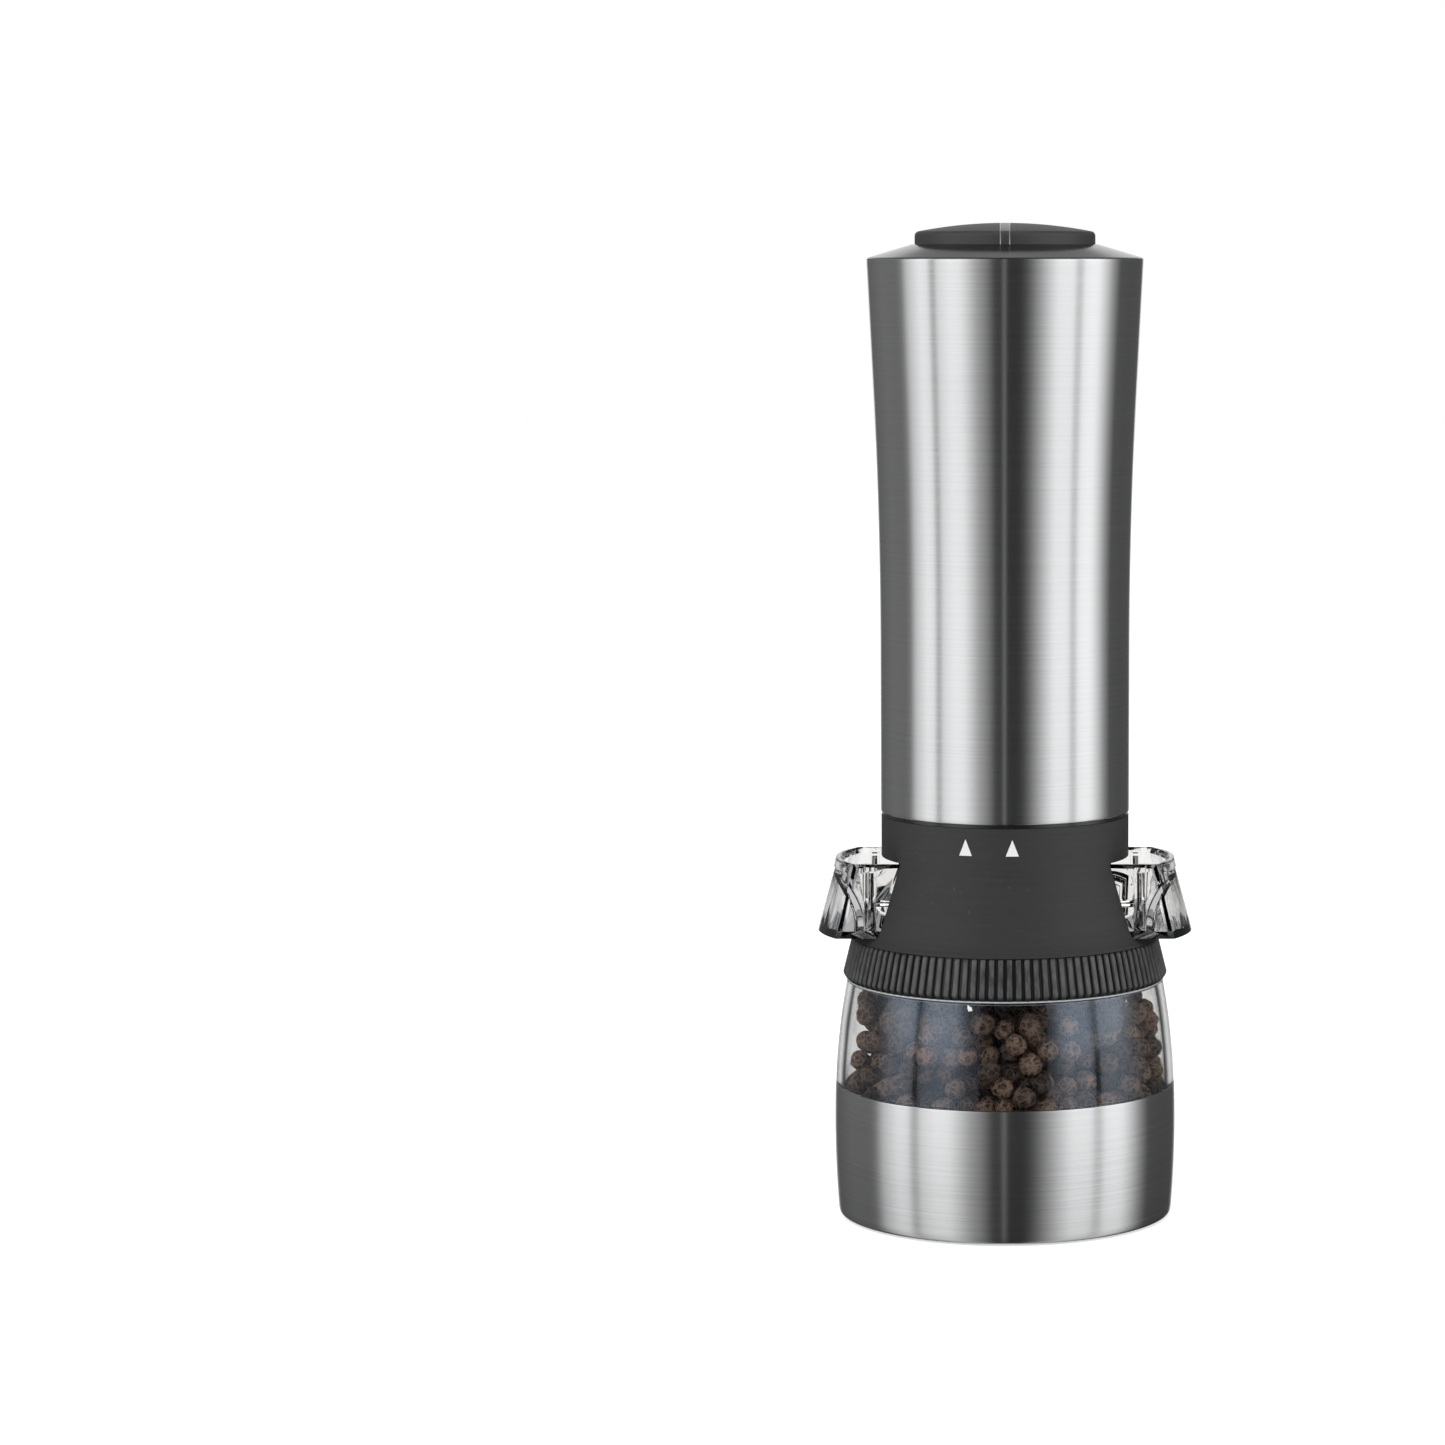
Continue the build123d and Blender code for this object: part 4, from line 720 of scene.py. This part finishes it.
def peppercorns():
    """Loose corns inside the glass, in place of the CAD's plain heap."""
    inset = GLASS_WALL + 0.12 * MM
    floor_z = BASE_HI.z - 3.2 * MM

    def wall_in(z):
        return bowl_r(min(max(z, floor_z), FILL_TOP_Z), inset)

    count, steps = ((760, 60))
    places, radii = settle(wall_in, floor_z, FILL_TOP_Z, count, steps)
    shapes, shape_faces = corn_shapes()
    rng = np.random.default_rng(23)
    verts, faces, tones, skins, start = [], [], [], [], 0
    for place, radius in zip(places, radii):
        turn = Matrix.Rotation(rng.uniform(0, 6.28), 3, Vector(rng.normal(size=3)))
        tone = min(1.0, max(0.0, rng.beta(1.6, 2.6) + (0.35 if rng.random() < 0.04 else 0.0)))
        shape = shapes[rng.integers(len(shapes))]
        offset = rng.uniform(0, 40, 3)
        if place[2] + radius > FILL_TOP_Z or math.hypot(place[0], place[1]) < HIDDEN_R:
            continue
        verts.append(shape @ (np.array(turn).T * radius) + place)
        faces += [tuple(i + start for i in f) for f in shape_faces]
        tones += [tone] * len(shape)
        skins.append(shape + offset)
        start += len(shape)
    mesh = bpy.data.meshes.new("peppercorns")
    mesh.from_pydata(np.concatenate(verts).tolist(), [], faces)
    mesh.attributes.new("tone", "FLOAT", "POINT").data.foreach_set("value", np.array(tones, np.float32))
    skin = np.concatenate(skins).astype(np.float32).ravel()
    mesh.attributes.new("skin", "FLOAT_VECTOR", "POINT").data.foreach_set("vector", skin)
    mesh.materials.append(MATERIALS["peppercorns"])
    placed(mesh, "peppercorns", "base", ["peppercorn_fill"], sharp=180.0)


# ---------- the mill ----------
steel_band()
steel_body()
clear_bowl()
# painted highlight lines at the container's shoulder and its ceiling inside
glint_bead("bowl_rim_line", bowl_r(SHOULDER_Z) - 0.1 * MM, SHOULDER_Z - 0.2 * MM, 0.2 * MM)
glint_bead("bowl_ceiling_line", bowl_r(SHOULDER_Z) - CEILING_LINE_IN, SHOULDER_Z - CEILING_LINE_DOWN,
     0.12 * MM)
knurled()
cap()
for side in ("left", "right"):
    softened_copy(side + "_drawer", side + "_drawer", 0.2 * MM, "clear_plastic", look="clear_drawer",
                  first=light_traps)
    softened_copy(side + "_button", side + "_button", 0.3 * MM, "button_black")
softened_copy("collar", "base", 0.25 * MM, "black_matte")
cad_copy("alignment_marks", "base", "white_print", rework=higher_marks)
softened_copy("button_divider", "head", 0.12 * MM, "rib_grey", first=fill_gap)
for side in ("left", "right"):
    button_spring(side)
peppercorns()


# ---------- studio ----------
def floor():
    """Pale floor with the mill's shadow; from below it is see-through, and it isn't mirrored."""
    bm = bmesh.new()
    bmesh.ops.create_circle(bm, cap_ends=True, segments=96, radius=4.0)
    mesh = bpy.data.meshes.new("floor")
    bm.to_mesh(mesh)
    bm.free()
    obj = bpy.data.objects.new("floor", mesh)
    obj.location = (0, 0, -0.4 * MM)
    bpy.context.scene.collection.objects.link(obj)
    m, t = new_material("floor_white")
    plain = node(t, "BsdfPrincipled", {"Base Color": grey(0.80), "Roughness": 0.9,
                                       "Specular IOR Level": 0.1}).outputs[0]
    to_camera = node(t, "LightPath").outputs["Is Camera Ray"]
    glow = node(t, "Emission", {"Color": grey(1.0), "Strength": times(t, to_camera, 0.50)}).outputs[0]
    upper = node(t, "AddShader", {0: plain, 1: glow}).outputs[0]
    below = node(t, "NewGeometry").outputs["Backfacing"]
    through = node(t, "BsdfTransparent").outputs[0]
    close(t, node(t, "MixShader", {0: below, 1: upper, 2: through}).outputs[0])
    mesh.materials.append(m)
    obj.visible_glossy = False
    obj.visible_transmission = False


# The strip boxes round the mill: (azimuth from the front towards +X in degrees, brightness).
# A colour ramp holds 32 stops, so the row is in two parts.
STRIPS_LEFT = [
    (-180, 0.61), (-172, 0.44), (-160, 0.13), (-126, 0.23), (-103, 0.23), (-97, 0.34), (-90, 0.98),
    (-76, 1.54), (-68, 1.41), (-65, 0.66), (-62, 0.66), (-59, 1.32), (-47, 1.61), (-38, 1.52),
    (-31, 1.08), (-24, 0.64), (-16, 0.37), (-9, 0.09), (-2, 0.05), (-1.2, 0.34), (0, 0.34),
    (0.8, 0.05), (13, 0.05), (18, 0.11), (23, 0.26), (30, 0.59), (38, 1.08), (46, 1.56), (60, 1.61),
    (64, 0.94), (67, 0.94), (71, 1.56)]
STRIPS_RIGHT = [
    (71, 1.56), (80, 1.69), (86, 1.65), (93, 1.19), (103, 0.50), (112, 0.13), (130, 0.11), (160, 0.10),
    (172, 0.44), (180, 0.61)]
SPLIT = STRIPS_RIGHT[0][0]
PEAK = 1.75                     # a ramp's colours stay below 1, so they are stored as shares of this


def strip_level(t, azimuth, z):
    """Brightness of the boxes, weaker overhead and below."""
    share = node(t, "MapRange", {"Value": azimuth, "From Min": -math.pi, "From Max": math.pi}).outputs[0]
    left, right = (ramp(t, share, [((a + 180) / 360, v / PEAK) for a, v in row])
                   for row in (STRIPS_LEFT, STRIPS_RIGHT))
    past = calc(t, "GREATER_THAN", share, (SPLIT + 180) / 360)
    by_height = times(t, falling(t, z, 0.55, 0.80, 0.10), falling(t, z, -0.02, -0.40, 0.45))
    return times(t, times(t, blended(t, past, left, right), by_height), PEAK)


def background(t, strength):
    return node(t, "Background", {"Color": grey(1.0), "Strength": strength}).outputs[0]


def chosen(t, share, first, second):
    """The first shader where share is 0, the second where it is 1."""
    return node(t, "MixShader", {0: share, 1: first, 2: second}).outputs[0]


def studio():
    """White backdrop for camera and see-through rays; soft strip boxes for reflections and for light."""
    world = bpy.data.worlds.new("studio")
    bpy.context.scene.world = world
    world.use_nodes = True
    t = world.node_tree
    t.nodes.clear()
    x, y, z = node(t, "SeparateXYZ", {0: node(t, "TexCoord").outputs["Generated"]}).outputs
    azimuth = calc(t, "ARCTAN2", x, times(t, y, -1.0))
    level = strip_level(t, azimuth, z)
    ray = node(t, "LightPath").outputs
    white = background(t, 1.0)

    def gap(centre, half, soft, low):
        """A darker stretch of the studio, in degrees round one azimuth."""
        off = calc(t, "ABSOLUTE", calc(t, "SUBTRACT", azimuth, math.radians(centre)))
        return falling(t, off, math.radians(half + soft), math.radians(half), low)

    # light on matt surfaces: the boxes over an even base that is stronger overhead
    base = calc(t, "MULTIPLY_ADD", falling(t, z, 0.9, 0.1), 0.75, 0.26)
    light = background(t, calc(t, "MULTIPLY_ADD", level, 0.62, base))

    # what shiny parts mirror: the boxes, with crisp gaps between them in polished parts, and the
    # white backdrop straight behind the mill
    gaps = times(t, gap(6, 22.5, 2, 0.12), times(t, gap(-63.6, 1.0, 1.2, 0.25), gap(66, 1.4, 1.2, 0.25)))
    boxes = chosen(t, ray["Is Singular Ray"], background(t, level), background(t, times(t, level, gaps)))
    low = falling(t, z, 0.30, 0.40)
    round_back = falling(t, calc(t, "ABSOLUTE", azimuth), math.radians(170), math.radians(163))
    behind = times(t, round_back, low)
    mirrored = chosen(t, behind, boxes, white)

    # what clear parts let through: the backdrop, or the pale floor from above, and else the boxes,
    # dimmed in front, where the camera stands
    dim = times(t, falling(t, z, 0.06, -0.04, 0.15), gap(4, 28, 12, 0.1))
    inner = background(t, times(t, times(t, level, dim), 1.4))
    backdrop = times(t, falling(t, y, 0.93, 0.84), low)
    downward = times(t, falling(t, z, -0.35, -0.25), falling(t, z, -0.90, -0.96))
    pale_floor = times(t, downward, falling(t, y, 0.3, 0.2))
    clear = chosen(t, calc(t, "MAXIMUM", backdrop, pale_floor), inner, white)

    # each ray by its kind; one that has met a matt surface sees the light, whatever it meets next
    seen = chosen(t, ray["Is Glossy Ray"], light, mirrored)
    seen = chosen(t, ray["Is Transmission Ray"], seen, clear)
    seen = chosen(t, ray["Diffuse Depth"], seen, light)
    seen = chosen(t, ray["Is Camera Ray"], seen, white)
    out = t.nodes.new("ShaderNodeOutputWorld")
    t.links.new(seen, out.inputs["Surface"])


def overhead_lamp():
    """A large soft lamp above and left of the camera, itself not mirrored."""
    data = bpy.data.lights.new("overhead", "AREA")
    data.shape = "DISK"
    data.size = 0.9
    data.energy = 5.0
    obj = bpy.data.objects.new("overhead", data)
    obj.location = (-0.35, -0.45, 1.3)
    obj.rotation_mode = "QUATERNION"
    obj.rotation_quaternion = (Vector((0, 0, 0.1)) - obj.location).to_track_quat("-Z", "Y")
    obj.visible_glossy = False
    obj.visible_transmission = False
    obj.visible_camera = False
    bpy.context.scene.collection.objects.link(obj)


def camera():
    """Level with the cap, looking a little down, the object right of the middle of the frame."""
    data = bpy.data.cameras.new("camera")
    data.sensor_width = 36.0
    data.lens = 109.6
    data.shift_x = -0.1955
    cam = bpy.data.objects.new("camera", data)
    cam.location = (0, -0.97125, 0.214)
    cam.rotation_euler = (math.radians(90 - 6.13), 0, 0)
    bpy.context.scene.collection.objects.link(cam)
    bpy.context.scene.camera = cam


floor()
studio()
overhead_lamp()
camera()
bpy.context.scene.view_settings.view_transform = "Standard"
